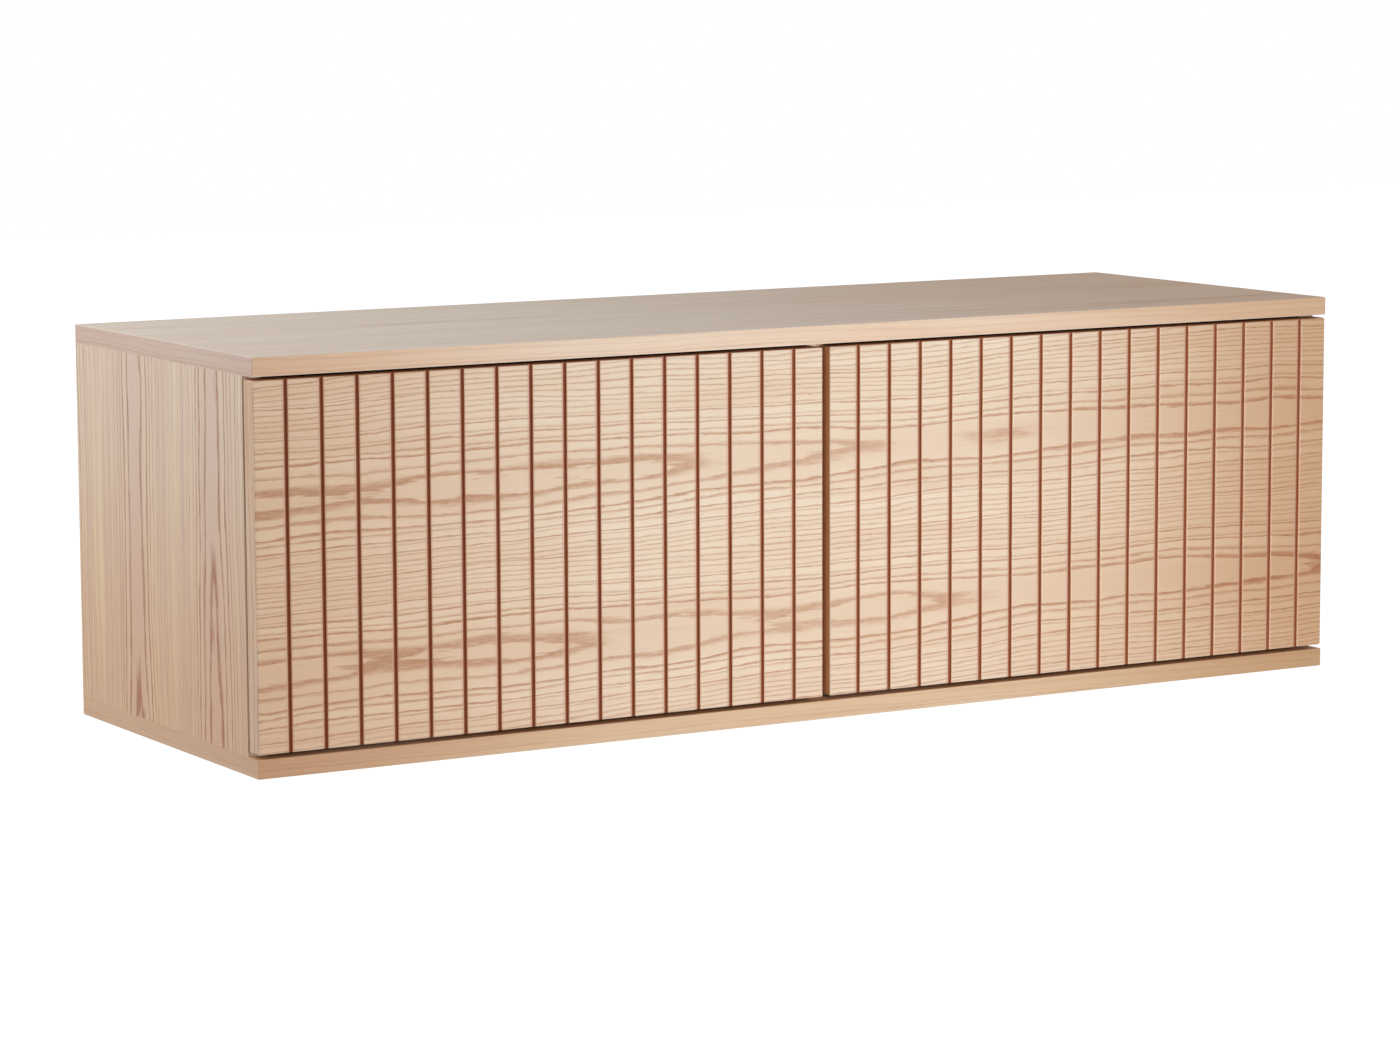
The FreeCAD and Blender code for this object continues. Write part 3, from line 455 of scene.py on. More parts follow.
def painted_edge_highlight(tree, wood, facing):
    """A painted highlight on the rounded edges: paler wood there."""
    square = 0.0
    for axis in "XYZ":
        either = add(tree, "Math", {0: facing[axis]}, operation="ABSOLUTE")
        square = add(tree, "Math", {0: either, 1: square}, operation="MAXIMUM")
    edge_highlight_share = add(tree, "MapRange", {"Value": square, 1: STILL_FLAT, 2: FULL_EDGE_HIGHLIGHT, 3: 0.0, 4: 1.0})
    highlit = add(tree, "VectorMath", {0: wood, 1: EDGE_HIGHLIGHT_TINT}, operation="MULTIPLY")
    return add(tree, "Mix", {"Factor": edge_highlight_share, "A": wood, "B": highlit}, data_type="RGBA")


print("tints can lie on:", ", ".join(SIDES))

# %% [markdown]
# ## Lacquered timber
# The early wood is brown on the ground tone, pores are darker still, and fine fibres break
# up what is left. They are drawn 1.3 mm wide, several times coarser than real ones, or they
# would not show. A clear matt lacquer lies on top: it is the Principled shader's own
# specular layer, quite dull, and duller over the open pores. A glossier one would lay a
# white veil over the top board. The colours are mixed before the shader, so one shader
# serves every board, and a board that is worked further hands in its own step as `over`.

# %% Timber finish
PORE_SHADE = 0.55
FIBRE = (45, 1.3)
FIBRE_SHADES = (0.95, 1.04)
LACQUER = (0.56, 0.68)
PORE_RELIEF = 0.12
PORE_DEPTH = 0.3


def timber(name, faces, cut, tones, zones=(), over=None):
    """A board's finish: rings, tones and fibres, then what is done to the surface."""
    made, tree = empty_finish(name)
    board, axes, facing = board_place(tree, faces)
    leaf = leaf_place(tree, board, cut)
    early = early_wood(tree, board, leaf, cut)
    pores = open_pores(tree, board, early, cut["seed"])
    pale, warm, brown = (colour(tone) for tone in tones)
    dark = [PORE_SHADE * part for part in brown[:3]] + [1]
    wood = ground_tone(tree, board, leaf, cut["seed"], pale, warm)
    for share, tone in ((early, brown), (pores, dark)):
        wood = add(tree, "Mix", {"Factor": share, "A": wood, "B": tone}, data_type="RGBA")
    fibre = streaks(tree, board, FIBRE, cut["seed"] + 9, *FIBRE_SHADES)
    wood = add(tree, "VectorMath", {0: wood, "Scale": fibre}, operation="SCALE")
    wood = painted_edge_highlight(tree, tinted(tree, wood, axes, facing, zones), facing)
    wood = over(tree, wood, axes) if over else wood
    rough = add(tree, "MapRange", {"Value": early, 3: LACQUER[0], 4: LACQUER[1]})
    hollow = add(tree, "Math", {0: early, 1: pores}, operation="ADD")
    relief = {"Height": hollow, "Strength": PORE_RELIEF, "Distance": PORE_DEPTH / MM}
    relief = add(tree, "Bump", relief, invert=True)
    surface = {"Base Color": wood, "Roughness": rough, "Normal": relief}
    add(tree, "OutputMaterial", {"Surface": add(tree, "BsdfPrincipled", surface)})
    return made


def dress(names, material):
    """Gives one finish to some CAD nodes."""
    for name in names:
        nodes[name].data.materials.clear()
        nodes[name].data.materials.append(material)
    print(material.name, "on", ", ".join(names))


print("lacquer roughness:", LACQUER)

# %% [markdown]
# ## Where the doors' grooves are
# A round-nosed cutter has run sixteen grooves down each door, through the veneer into the
# brown core. The grooves are real geometry; the finish only has to know where it is: how
# far to the side of the nearest groove, and how deep behind the door's face. The pitch
# would go on past the last groove, onto the doors' edges, so the range of the sixteen is
# marked as well.

# %% Groove places
GROOVES = 16
GROOVE_PITCH = 35.4
FIRST_GROOVE = 0.85
CORE_DEPTH = 4.5
DOOR_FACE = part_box("left_door")[0].y * MM


def groove_place(tree, axes):
    """How far beside the nearest groove, how deep, whether by a groove, and how far from mid-width."""
    half = GROOVE_PITCH / 2
    hand = add(tree, "Math", {0: axes["X"]}, operation="SIGN")
    beside = {0: hand, 1: -FIRST_GROOVE, 2: axes["X"]}
    beside = add(tree, "Math", beside, operation="MULTIPLY_ADD")
    beside = add(tree, "Math", {0: beside, 1: half, 2: -half}, operation="WRAP")
    deep = add(tree, "Math", {0: axes["Y"], 1: DOOR_FACE}, operation="SUBTRACT")
    front = add(tree, "Math", {0: deep, 1: CORE_DEPTH}, operation="LESS_THAN")
    middle = add(tree, "Math", {0: axes["X"]}, operation="ABSOLUTE")
    among = {0: middle, 1: FIRST_GROOVE + (GROOVES + 1) * half, 2: GROOVES * half}
    among = add(tree, "Math", among, operation="COMPARE")
    grooved = add(tree, "Math", {0: front, 1: among}, operation="MULTIPLY")
    return beside, deep, grooved, middle


print("grooves on each door:", GROOVES, "behind the face at", round(DOOR_FACE, 1), "mm")

# %% [markdown]
# ## What the cutter left, with painted shade and highlights
# A round-nosed cutter leaves a rounded lip on each side of every groove. The left lip is
# mixed towards a dull pink as painted shade, where it turns away from the light, and the
# right rim is made brighter as a painted highlight. Below the veneer the core is bare brown,
# and it is painted darker towards the groove's floor as painted shade. The doors' meeting
# edges were cut after veneering, so they show the same core, a little paler, painted darker
# deeper in as painted shade. Each of these is a share from 0 to 1 that mixes one colour in,
# which is easier to tune than separate materials on separate faces.

# %% Groove colours
GROOVE_HALF_WIDTH = 3.4
LIP_REACH = 5.0
LIP_SHADE_STRENGTH = 0.6
VENEER_ENDS = (0.5, 1.2)
FLOOR_SHADE_TURN = (1.4, 3.4)
RIM_SIDE = (1.8, 2.6)
RIM_TOP = (0.05, 0.2)
RIM_FOOT = (0.6, 1.1)
RIM_HIGHLIGHT_STRENGTH = 0.75
RIM_HIGHLIGHT_TINT = (1.17, 0.99, 0.84)


def painted_lip_shade(tree, veneer, beside, grooved):
    """Painted shade on the left lips: the veneer there mixed towards a dull pink."""
    lip_shade = {"Value": beside, 1: -LIP_REACH, 2: -GROOVE_HALF_WIDTH, 3: 0.0, 4: LIP_SHADE_STRENGTH}
    lip_shade = add(tree, "MapRange", lip_shade)
    left = add(tree, "Math", {0: beside, 1: 0.0}, operation="LESS_THAN")
    for share in (left, grooved):
        lip_shade = add(tree, "Math", {0: lip_shade, 1: share}, operation="MULTIPLY")
    # Painted shade: a dull pink on the left lip, where it turns away from the light.
    return add(tree, "Mix", {"Factor": lip_shade, "A": veneer, "B": colour("C99A82")}, data_type="RGBA")


def hollowed(tree, wood, beside, deep, grooved, bare):
    """The bare core in the grooves, painted darker towards the floor as painted shade, and which points lie
    inside a groove.
    """
    away = add(tree, "Math", {0: beside}, operation="ABSOLUTE")
    inside = add(tree, "Math", {0: away, 1: GROOVE_HALF_WIDTH}, operation="LESS_THAN")
    inside = add(tree, "Math", {0: inside, 1: grooved}, operation="MULTIPLY")
    hollow = add(tree, "Math", {0: inside, 1: bare}, operation="MULTIPLY")
    floor_shade_share = add(tree, "MapRange", {"Value": deep, 1: FLOOR_SHADE_TURN[0], 2: FLOOR_SHADE_TURN[1]})
    # The core's own brown, and painted shade: darker towards the groove's floor.
    core_and_shade = {"Factor": floor_shade_share, "A": colour("BE7440"), "B": colour("945432")}
    core_and_shade = add(tree, "Mix", core_and_shade, data_type="RGBA")
    return add(tree, "Mix", {"Factor": hollow, "A": wood, "B": core_and_shade}, data_type="RGBA"), inside


def painted_rim_highlight(tree, wood, veneer, beside, deep, inside):
    """A painted highlight on the right rims: the veneer there made brighter."""
    rim_highlight = add(tree, "MapRange", {"Value": beside, 1: RIM_SIDE[0], 2: RIM_SIDE[1]})
    top = add(tree, "MapRange", {"Value": deep, 1: RIM_TOP[0], 2: RIM_TOP[1]})
    foot = {"Value": deep, 1: RIM_FOOT[0], 2: RIM_FOOT[1], 3: RIM_HIGHLIGHT_STRENGTH, 4: 0.0}
    foot = add(tree, "MapRange", foot)
    for share in (top, foot, inside):
        rim_highlight = add(tree, "Math", {0: rim_highlight, 1: share}, operation="MULTIPLY")
    # Painted highlight: a brighter, warmer veneer along the right rim.
    rim_lit = add(tree, "VectorMath", {0: veneer, 1: RIM_HIGHLIGHT_TINT}, operation="MULTIPLY")
    return add(tree, "Mix", {"Factor": rim_highlight, "A": wood, "B": rim_lit}, data_type="RGBA")


print("veneer ends between", VENEER_ENDS, "mm deep")

# %% Routed doors
MEETING_EDGE = 4.6
EDGE_SHADE_TURN = (7, 11)


def routed(tree, veneer, axes):
    """A door's veneer with its lips, grooves and rims, and the core on the meeting edge: the lips and the
    deep core painted as shade, the rims as a highlight, the edge painted darker deeper in.
    """
    beside, deep, grooved, middle = groove_place(tree, axes)
    bare = add(tree, "MapRange", {"Value": deep, 1: VENEER_ENDS[0], 2: VENEER_ENDS[1]})
    wood = painted_lip_shade(tree, veneer, beside, grooved)
    wood, inside = hollowed(tree, wood, beside, deep, grooved, bare)
    wood = painted_rim_highlight(tree, wood, veneer, beside, deep, inside)
    meeting = add(tree, "Math", {0: middle, 1: MEETING_EDGE}, operation="LESS_THAN")
    meeting = add(tree, "Math", {0: meeting, 1: bare}, operation="MULTIPLY")
    edge_shade_share = add(tree, "MapRange", {"Value": deep, 1: EDGE_SHADE_TURN[0], 2: EDGE_SHADE_TURN[1]})
    # The meeting edge's bare core, painted darker deeper into the gap as painted shade.
    edge = {"Factor": edge_shade_share, "A": colour("E4AE80"), "B": colour("B87C52")}
    edge = add(tree, "Mix", edge, data_type="RGBA")
    return add(tree, "Mix", {"Factor": meeting, "A": wood, "B": edge}, data_type="RGBA")


print("meeting edges within", MEETING_EDGE, "mm of the middle")

# %% [markdown]
# ## How the ash was cut
# All the outside is ash veneer from one stack, but each set of boards was cut to show it
# differently: two flat-sawn leaves with long flames across the doors, quieter leaves on
# top, upright grain on the sides. A cut is a handful of sizes in millimetres: the leaf's
# width and where the first begins, the depth under the heart, the ring width, how far the
# heart wanders and ripples, and the length of trunk that adds one ring. Swell and fade are
# in years, and calm and strength are shares.

# %% Ash cuts
cuts = {
    "door": dict(leaf=158, first_leaf=-257, slope=0.015, depth=48, spacing=3.9, wander=7.0,
                 ripple=0.5, tongue=560, swell=1.2, fade=0.42, calm=0.95, strength=1.12, seed=8),
    "long": dict(leaf=181, first_leaf=-437, slope=0.0, depth=60, spacing=5.0, wander=6.0,
                 ripple=0.5, tongue=900, swell=0.6, fade=0.36, calm=0.7, strength=0.5, seed=11),
    "side": dict(leaf=172, first_leaf=-397, slope=0.0, depth=40, spacing=5.2, wander=5.0,
                 ripple=0.3, tongue=420, swell=1.0, fade=0.36, calm=0.35, strength=1.25, seed=26),
    "inside": dict(leaf=170, first_leaf=-400, slope=0.0, depth=60, spacing=5.0, wander=6.0,
                   ripple=0.5, tongue=700, swell=0.8, fade=0.36, calm=0.8, strength=0.6, seed=31),
}
print("ring widths in mm:", {name: cut["spacing"] for name, cut in cuts.items()})

# %% [markdown]
# ## Where the ash is warmer, and where shade is painted
# The console's ends are warmer and darker than its middle, and the right end most of all:
# partly warmer wood, partly painted shade where the front lamp's light falls off. Edge
# strips are a shade darker than the faces. The top turns browner to the right and the sides
# to their feet, both painted shade where less light and sheen reach them. The strips that
# show in the gaps over and under the doors get a darker brown still, as painted shadow. Each
# row gives the side it lies on, the axis along which it grows, where it starts and where it
# is full in millimetres, and its tint.

# %% Ash zones
door_zones = [
    # Warmer wood and painted shade: the doors' ends darker, where the front lamp's light falls off.
    ("front", "X", 160, 640, "EAD3BC"),
    ("front", "X", -150, -640, "FAECDF"),
    ("front", "Z", 20, -250, "FDF9F6"),
    ("left", "X", 0, -590, "F8EAE2"),
    # Painted shadow: the doors' top edges, in the gap under the top board, a darker brown.
    ("up", "Z", 70, 80, "CC9A76"),
]
end_zones = [
    # Warmer wood and painted shade: the boards' ends darker, where the light falls off.
    ("front", "X", 130, 640, "EFE1D1"),
    ("front", "X", -200, -640, "FAEBDD"),
]
top_zones = end_zones + [
    ("front", "Y", -300, -390, "F5E8DC"),
    ("left", "X", 0, -590, "E4D6D4"),
    # Painted shade: the top turns browner towards its right end, where less light reaches it.
    ("up", "X", -300, 600, "E8D2BE"),
]
bottom_zones = end_zones + [
    ("front", "Y", -300, -390, "EEE0D1"),
    ("left", "X", 0, -590, "F2DED0"),
    ("front", "X", -200, -640, "F3EAE6"),
    # Painted shadow: the strip of bottom board under the closed doors, a darker brown.
    ("up", "Y", -374, -385, "DDBA9C"),
]
side_zones = [
    # Painted shade: both sides darker and warmer towards their feet, away from the sheen higher up.
    ("left", "Z", 80, -260, "FAE7D6"),
    ("right", "Z", 80, -260, "FAE7D6"),
]
print("zones:", len(door_zones), "on the doors,", len(top_zones), "on the top")

# %% [markdown]
# ## Ash on every board
# With cuts and zones in hand, a veneer is one line: its name, the way its grain runs on
# each face, its cut, and its tones from pale ground over warm ground to brown early wood.
# The top is the palest and greyest, partly its own paler wood and partly a painted sheen
# where light skims it; the doors are a little paler than the plain boards, and the sides mix cream and pink.

# %% Ash outside
ASH = ("E6D3BA", "DDC3A7", "BF906F")
DOOR_ASH = ("E7D5BE", "DEC5AB", "BF906F")
SHEENED_TOP_ASH = ("EFE3D4", "E7D2BE", "C69A7C")
SIDE_ASH = ("E8D5B8", "DAC0B1", "A8745A")

# Flat-sawn ash under matt lacquer: brown flames on cream, cut by dark upright lines.
door_ash = timber("lacquered_ash_door_veneer", DOOR, cuts["door"], DOOR_ASH, door_zones, routed)
dress(["left_door", "right_door"], door_ash)
# The same ash, paler and greyer as a painted sheen: quiet pale lines that read as one calm sheet.
top_ash = timber("lacquered_ash_top_veneer", LONG_BOARD, cuts["long"], SHEENED_TOP_ASH, top_zones)
dress(["top_panel"], top_ash)
# The top's cut without the painted sheen, so it is a shade warmer.
bottom_ash = timber("lacquered_ash_bottom_veneer", LONG_BOARD, cuts["long"], ASH, bottom_zones)
dress(["bottom_panel"], bottom_ash)
# Upright ash: narrow brown lines on bands of cream and pink.
side_ash = timber("lacquered_ash_side_veneer", STANDING_BOARD, cuts["side"], SIDE_ASH, side_zones)
dress(["left_side", "right_side"], side_ash)

# %% Ash inside
# A plain cut with soft lines, so that the inside stays quiet behind the doors.
inside_ash = timber("lacquered_ash_inside_veneer", LONG_BOARD, cuts["inside"], ASH)
dress(["back_panel", "left_shelf", "right_shelf"], inside_ash)
# The same plain cut stood on end, with its lines running up to the top board.
divider_ash = timber("lacquered_ash_divider_veneer", STANDING_BOARD, cuts["inside"], ASH)
dress(["centre_divider"], divider_ash)

# %% [markdown]
# ## Cleats and dowels
# The two cleats are planed spruce: yellower than ash, with wide soft rings. The dowels are
# turned from beech, which is pinkish and very even. Both are timber again, so they use the
# same finish with their own tones and cuts, and need no nodes of their own.

# %% Plain timber
SPRUCE = ("EBD8B0", "E2C99C", "C49C68")
BEECH = ("DDB58D", "D3A57A", "B98660")
spruce_cut = dict(leaf=90, first_leaf=-60, slope=0.004, depth=40, spacing=4.5, wander=3.0,
                  ripple=0.3, tongue=600, swell=0.6, fade=0.42, calm=1.0, strength=0.9, seed=41)
beech_cut = dict(leaf=60, first_leaf=-400, slope=0.0, depth=50, spacing=2.2, wander=1.0,
                 ripple=0.2, tongue=300, swell=0.3, fade=0.42, calm=1.0, strength=0.5, seed=51)

# Planed spruce: straw yellow with broad soft stripes, plainly a batten and not a face.
spruce = timber("planed_spruce", LONG_BOARD, spruce_cut, SPRUCE)
dress(["hanging_cleat", "wall_cleat"], spruce)
# Turned beech: an even pinkish brown with hardly a line in it.
beech = timber("turned_beech", STANDING_BOARD, beech_cut, BEECH)
dress(["carcass_dowels"], beech)

# %% [markdown]
# ## Plated metal
# The hinges, strike plates and shelf supports are pressed or cast and satin nickel plated,
# a warm grey; screws, pins and cam bolts are bright zinc plated, a colder grey. Plating
# shows as a mirror that fine grain has softened, with duller clouds where it was handled.
# Grain of 0.8 mm is coarser than the real one, which would be too fine to show. Both are
# metals, so their colour is the colour of their reflections.

# %% Plated metal
CLOUD_EDGES = (0.35, 0.65)
GRAIN_EDGES = (0.3, 0.7)
PLATING_RELIEF = 0.03
PLATING_DEPTH = 0.1
PLATING_GRAIN = 0.8


def plated(name, tones, cloud_size, rough):
    """A plated metal: clouds of two close greys, and a grain in its gloss and relief."""
    made, tree = empty_finish(name)
    where = add(tree, "TexCoord").node.outputs["Object"]
    cloud = add(tree, "TexNoise", {"Vector": where, "Scale": MM / cloud_size, "Detail": 3})
    cloud = add(tree, "MapRange", {"Value": cloud, 1: CLOUD_EDGES[0], 2: CLOUD_EDGES[1]})
    greys = {"Factor": cloud, "A": colour(tones[0]), "B": colour(tones[1])}
    grey = add(tree, "Mix", greys, data_type="RGBA")
    grain = add(tree, "TexNoise", {"Vector": where, "Scale": MM / PLATING_GRAIN, "Detail": 2})
    gloss = {"Value": grain, 1: GRAIN_EDGES[0], 2: GRAIN_EDGES[1], 3: rough[0], 4: rough[1]}
    gloss = add(tree, "MapRange", gloss)
    relief = {"Height": grain, "Strength": PLATING_RELIEF, "Distance": PLATING_DEPTH / MM}
    relief = add(tree, "Bump", relief)
    surface = {"Base Color": grey, "Metallic": 1.0, "Roughness": gloss, "Normal": relief}
    add(tree, "OutputMaterial", {"Surface": add(tree, "BsdfPrincipled", surface)})
    return made


HANDS = ("left", "right")
LEVELS = ("upper", "lower")
# Satin nickel on pressed steel: a warm grey whose soft reflections show each fitting's form.
nickel = plated("satin_nickel_plating", ("CDC8C0", "B4AEA5"), cloud_size=14, rough=(0.30, 0.38))
pressed = [f"{level}_hinge_{part}" for level in LEVELS for part in ("cup", "arm", "plate")]
pressed += ["strike_plate", "shelf_supports"]
dress(["cam_housings"] + [f"{hand}_{part}" for hand in HANDS for part in pressed], nickel)
# Bright zinc on steel: colder and sharper, so that pins and screws stand out from the nickel.
zinc = plated("bright_zinc_plating", ("CDD2D6", "AEB4B6"), cloud_size=9, rough=(0.22, 0.38))
pins = [f"{hand}_{level}_hinge_pin" for hand in HANDS for level in LEVELS]
dress(["cam_bolts"] + pins, zinc)

# %% [markdown]
# ## Latches
# A latch housing and its plunger are moulded in grey acetal with a fine spark-eroded grain,
# which scatters the light and keeps the plastic from shining. The pad on the plunger's tip
# is black rubber, dusty in places. Both get their grain from noise in the relief, and a
# slow change of tone, since a moulding is never quite one colour. The grain is drawn about
# four times its real size, so that it shows.

# %% Moulded plastic and rubber
MOULD_RELIEF = 0.35


def moulded(name, tones, tone_size, grain_size, rough, grain_depth):
    """A moulded piece: slow changes of tone, and a fine even grain, with its sizes in mm."""
    made, tree = empty_finish(name)
    where = add(tree, "TexCoord").node.outputs["Object"]
    flow = add(tree, "TexNoise", {"Vector": where, "Scale": MM / tone_size, "Detail": 2})
    flow = add(tree, "MapRange", {"Value": flow, 1: GRAIN_EDGES[0], 2: GRAIN_EDGES[1]})
    mixed = {"Factor": flow, "A": colour(tones[0]), "B": colour(tones[1])}
    tone = add(tree, "Mix", mixed, data_type="RGBA")
    grain = add(tree, "TexNoise", {"Vector": where, "Scale": MM / grain_size, "Detail": 1})
    dull = {"Value": grain, 1: GRAIN_EDGES[0], 2: GRAIN_EDGES[1], 3: rough[0], 4: rough[1]}
    dull = add(tree, "MapRange", dull)
    relief = {"Height": grain, "Strength": MOULD_RELIEF, "Distance": grain_depth / MM}
    relief = add(tree, "Bump", relief)
    surface = {"Base Color": tone, "Roughness": dull, "Normal": relief}
    add(tree, "OutputMaterial", {"Surface": add(tree, "BsdfPrincipled", surface)})
    return made


# Grained acetal: a soft warm grey with no clear reflection.
acetal = moulded("moulded_grey_acetal", ("ABA59D", "9B958D"), tone_size=18, grain_size=0.6,
                 rough=(0.46, 0.60), grain_depth=0.1)
dress([f"{hand}_latch_{part}" for hand in HANDS for part in ("housing", "plunger")], acetal)
# Moulded rubber: near black and dull, with dusty lighter patches.
rubber = moulded("black_rubber", ("1D1C1B", "34322F"), tone_size=5, grain_size=0.5,
                 rough=(0.66, 0.84), grain_depth=0.08)
dress([f"{hand}_latch_pad" for hand in HANDS], rubber)

# %% [markdown]
# ## Screws
# The frame's screws are plain pegs. Open a door and their heads are close to the eye, so
# they are modelled here: a domed head with a cross recess, a shank and a point. One screw
# of each size is shaped from a cylinder: the top rim is bevelled to a dome, and the
# underside is inset and extruded to the shank and the point. Modelling in millimetres and
# scaling at the end keeps the cuts exact.

# %% Screw body
FLAT = 0.9
HEAD_SIDES = 32
DOME_SHARE = 0.6
DOME_STEPS = 5
POINT_LENGTH = 2
POINT_TIP = 0.2


def pick_faces(mesh, wanted):
    """Selects the faces of the piece in edit mode that pass a test."""
    bpy.ops.mesh.select_mode(type="FACE")
    bpy.ops.mesh.select_all(action="DESELECT")
    bpy.ops.object.mode_set(mode="OBJECT")
    for face in mesh.polygons:
        face.select = wanted(face)
    bpy.ops.object.mode_set(mode="EDIT")


def extrude_down(by, narrow):
    """Pulls the selected face down and scales it about the screw's axis."""
    bpy.ops.mesh.extrude_region_move(TRANSFORM_OT_translate={"value": (0, 0, -by)})
    bpy.ops.transform.resize(value=(narrow, narrow, 1), center_override=(0, 0, 0))


def screw_body(head, rise, shank, length):
    """Head, shank and point, in mm, with the underside of the head at the origin."""
    point = POINT_LENGTH * shank
    middle = (0, 0, rise / 2)
    bpy.ops.object.select_all(action="DESELECT")
    bpy.ops.mesh.primitive_cylinder_add(vertices=HEAD_SIDES, radius=head, depth=rise, location=middle)
    screw = bpy.context.object
    bpy.ops.object.transform_apply(location=True, rotation=False, scale=False)
    bpy.ops.object.mode_set(mode="EDIT")
    pick_faces(screw.data, lambda face: face.normal.z > FLAT)
    bpy.ops.mesh.bevel(offset=DOME_SHARE * rise, segments=DOME_STEPS, affect="EDGES")
    pick_faces(screw.data, lambda face: face.normal.z < -FLAT)
    bpy.ops.mesh.inset(thickness=head - shank)
    extrude_down(length - point, 1)
    extrude_down(point, POINT_TIP)
    bpy.ops.object.mode_set(mode="OBJECT")
    return screw


print("screw heads have", HEAD_SIDES, "sides and", DOME_STEPS, "steps of dome")

# %% [markdown]
# ## The cross in a screw's head
# A driver's cross is narrower at its bottom, so that the bit centres itself. A blade is a
# cube whose lower face is scaled in, and a Boolean modifier cuts with it twice, the second
# time turned by a right angle. Cutting gives clean recess walls, which pushing faces about
# on the domed head would not.

# %% Screw recess
RECESS_DEPTH = 0.75
BLADE_LENGTH = 1.1
BLADE_WIDTH = 0.24
BLADE_TAPER = (0.45, 0.7, 1)


def cut_recess(screw, head, rise):
    """Cuts a cross into the head with a tapered blade, turned once by a right angle."""
    size = (BLADE_LENGTH * head, BLADE_WIDTH * head, 2 * RECESS_DEPTH * rise)
    bpy.ops.object.select_all(action="DESELECT")
    bpy.ops.mesh.primitive_cube_add(size=1, location=(0, 0, rise), scale=size)
    blade = bpy.context.object
    bpy.ops.object.mode_set(mode="EDIT")
    pick_faces(blade.data, lambda face: face.normal.z < -FLAT)
    bpy.ops.transform.resize(value=BLADE_TAPER, center_override=(0, 0, rise))
    bpy.ops.object.mode_set(mode="OBJECT")
    bpy.context.view_layer.objects.active = screw
    for turn in (0, math.pi / 2):
        blade.rotation_euler.z = turn
        bpy.context.view_layer.update()
        cutter = screw.modifiers.new("recess", "BOOLEAN")
        cutter.object = blade
        cutter.solver = "EXACT"
        bpy.ops.object.modifier_apply(modifier=cutter.name)
    bpy.data.objects.remove(blade)


print("recess depth:", RECESS_DEPTH, "of the head")

# %% [markdown]
# ## Every screw in its place
# A copy of each screw node, merged and separated into loose parts, gives the place of
# every screw, so no number is written twice. The finished screw is copied there with its
# own mesh, turned to its heading, and given its own turn about its axis, since no fitter
# leaves all crosses in line. The copies of one node are joined, and that piece replaces
# the node and rides on the same body.

# %% Screw places
MERGE = 1e-6


def loose_boxes(node):
    """The lowest and highest corner of each loose part of a node."""
    spare = nodes[node].copy()
    spare.data = spare.data.copy()
    bpy.context.scene.collection.objects.link(spare)
    bpy.ops.object.select_all(action="DESELECT")
    spare.select_set(True)
    bpy.context.view_layer.objects.active = spare
    bpy.ops.object.mode_set(mode="EDIT")
    bpy.ops.mesh.select_all(action="SELECT")
    bpy.ops.mesh.remove_doubles(threshold=MERGE)
    bpy.ops.mesh.separate(type="LOOSE")
    bpy.ops.object.mode_set(mode="OBJECT")
    boxes = []
    for part in list(bpy.context.selected_objects):
        corners = [Vector(corner) for corner in part.bound_box]
        boxes.append((corners[0], corners[6]))
        bpy.data.objects.remove(part)
    return sorted(boxes, key=lambda box: (box[0].z, box[0].x))


print("cup screws in the left door:", len(loose_boxes("left_cup_screws")))

# %% Screws in place
SCREW_TURN = 0.71
SMOOTH_ANGLE = math.radians(35)
HEADINGS = {"left": (-1, 0, 0), "right": (1, 0, 0), "front": (0, -1, 0), "back": (0, 1, 0)}


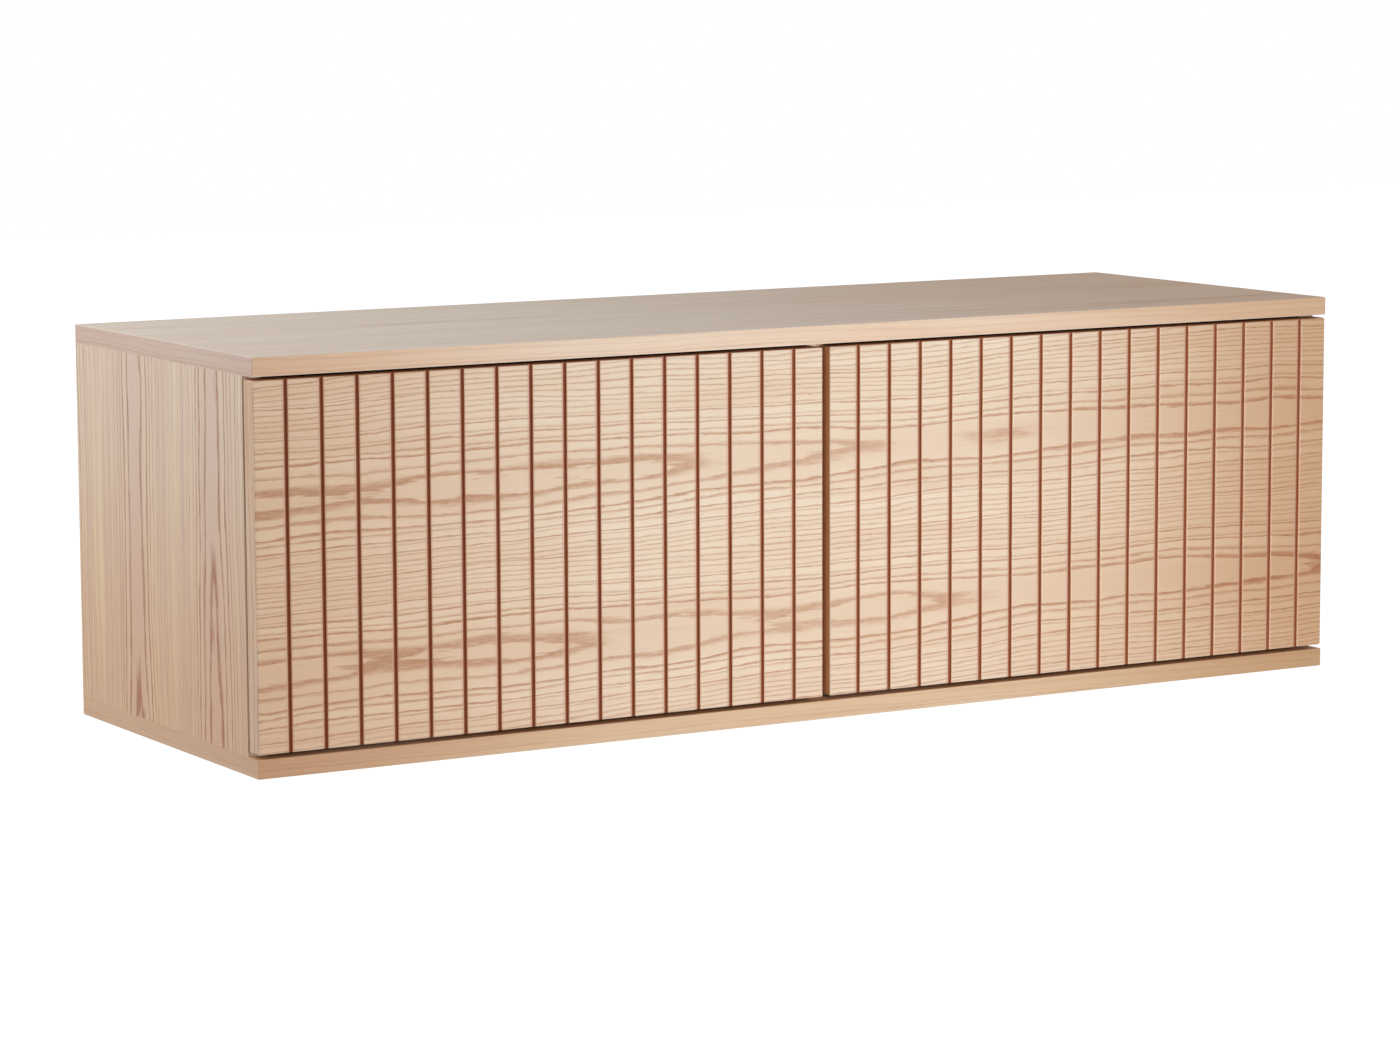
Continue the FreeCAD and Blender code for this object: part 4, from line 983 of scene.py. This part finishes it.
def drive_screws(node, body, heading, master, rise):
    """Copies of one screw at every place of a node, as one piece that replaces it."""
    way = Vector(HEADINGS[heading])
    turn = (-way).to_track_quat("Z", "Y").to_matrix().to_4x4()
    copies = []
    for k, (low, high) in enumerate(loose_boxes(node)):
        middle = (low + high) / 2
        reach = (high - low).dot(Vector(map(abs, way))) / 2
        seat = middle - way * (reach - rise / MM)
        copy = master.copy()
        copy.data = master.data.copy()
        bpy.context.scene.collection.objects.link(copy)
        own_turn = Matrix.Rotation(SCREW_TURN * (k + 1), 4, "Z")
        copy.matrix_world = Matrix.Translation(seat) @ turn @ own_turn @ Matrix.Scale(1 / MM, 4)
        copies.append(copy)
    bpy.ops.object.select_all(action="DESELECT")
    for copy in copies:
        copy.select_set(True)
    bpy.context.view_layer.objects.active = copies[0]
    bpy.ops.object.transform_apply(location=True, rotation=True, scale=True)
    bpy.ops.object.join()
    piece = bpy.context.object
    piece.name = f"{node}_cross_headed"
    piece.data.materials.clear()
    piece.data.materials.append(zinc)
    bpy.ops.object.shade_smooth_by_angle(angle=SMOOTH_ANGLE)
    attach(piece, body)
    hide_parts(node)
    print(piece.name, len(copies), "screws,", len(piece.data.polygons), "faces")


print("headings:", ", ".join(HEADINGS))

# %% [markdown]
# ## All the screws
# Five kinds hold the console's fittings, and each is sized to sit inside the outline of
# the frame's peg. The right hand mirrors the left, so only the left hand's headings are
# listed. The cup screws sit in the doors and swing with them; all others stay with the
# carcass. One master of each kind is made, copied and then removed.

# %% All the screws
SCREWS = {
    "cup_screws": dict(head=3.3, rise=1.6, shank=1.6, length=11),
    "plate_screws": dict(head=4.0, rise=2.0, shank=2.4, length=12),
    "arm_screws": dict(head=3.8, rise=1.8, shank=2.0, length=9),
    "latch_screws": dict(head=3.2, rise=1.8, shank=1.6, length=11),
    "cleat_screws": dict(head=4.2, rise=2.4, shank=2.0, length=22),
}
LEFT_HEADINGS = {"cup_screws": "front", "plate_screws": "left", "arm_screws": "left", "latch_screws": "right"}
MIRRORED = {"left": "right", "right": "left", "front": "front"}
for kind, sizes in SCREWS.items():
    master = screw_body(**sizes)
    cut_recess(master, sizes["head"], sizes["rise"])
    if kind == "cleat_screws":
        drive_screws(kind, "carcass", "back", master, sizes["rise"])
    else:
        for hand in HANDS:
            heading = LEFT_HEADINGS[kind] if hand == "left" else MIRRORED[LEFT_HEADINGS[kind]]
            body = f"{hand}_leaf" if kind == "cup_screws" else "carcass"
            drive_screws(f"{hand}_{kind}", body, heading, master, sizes["rise"])
    bpy.data.objects.remove(master)
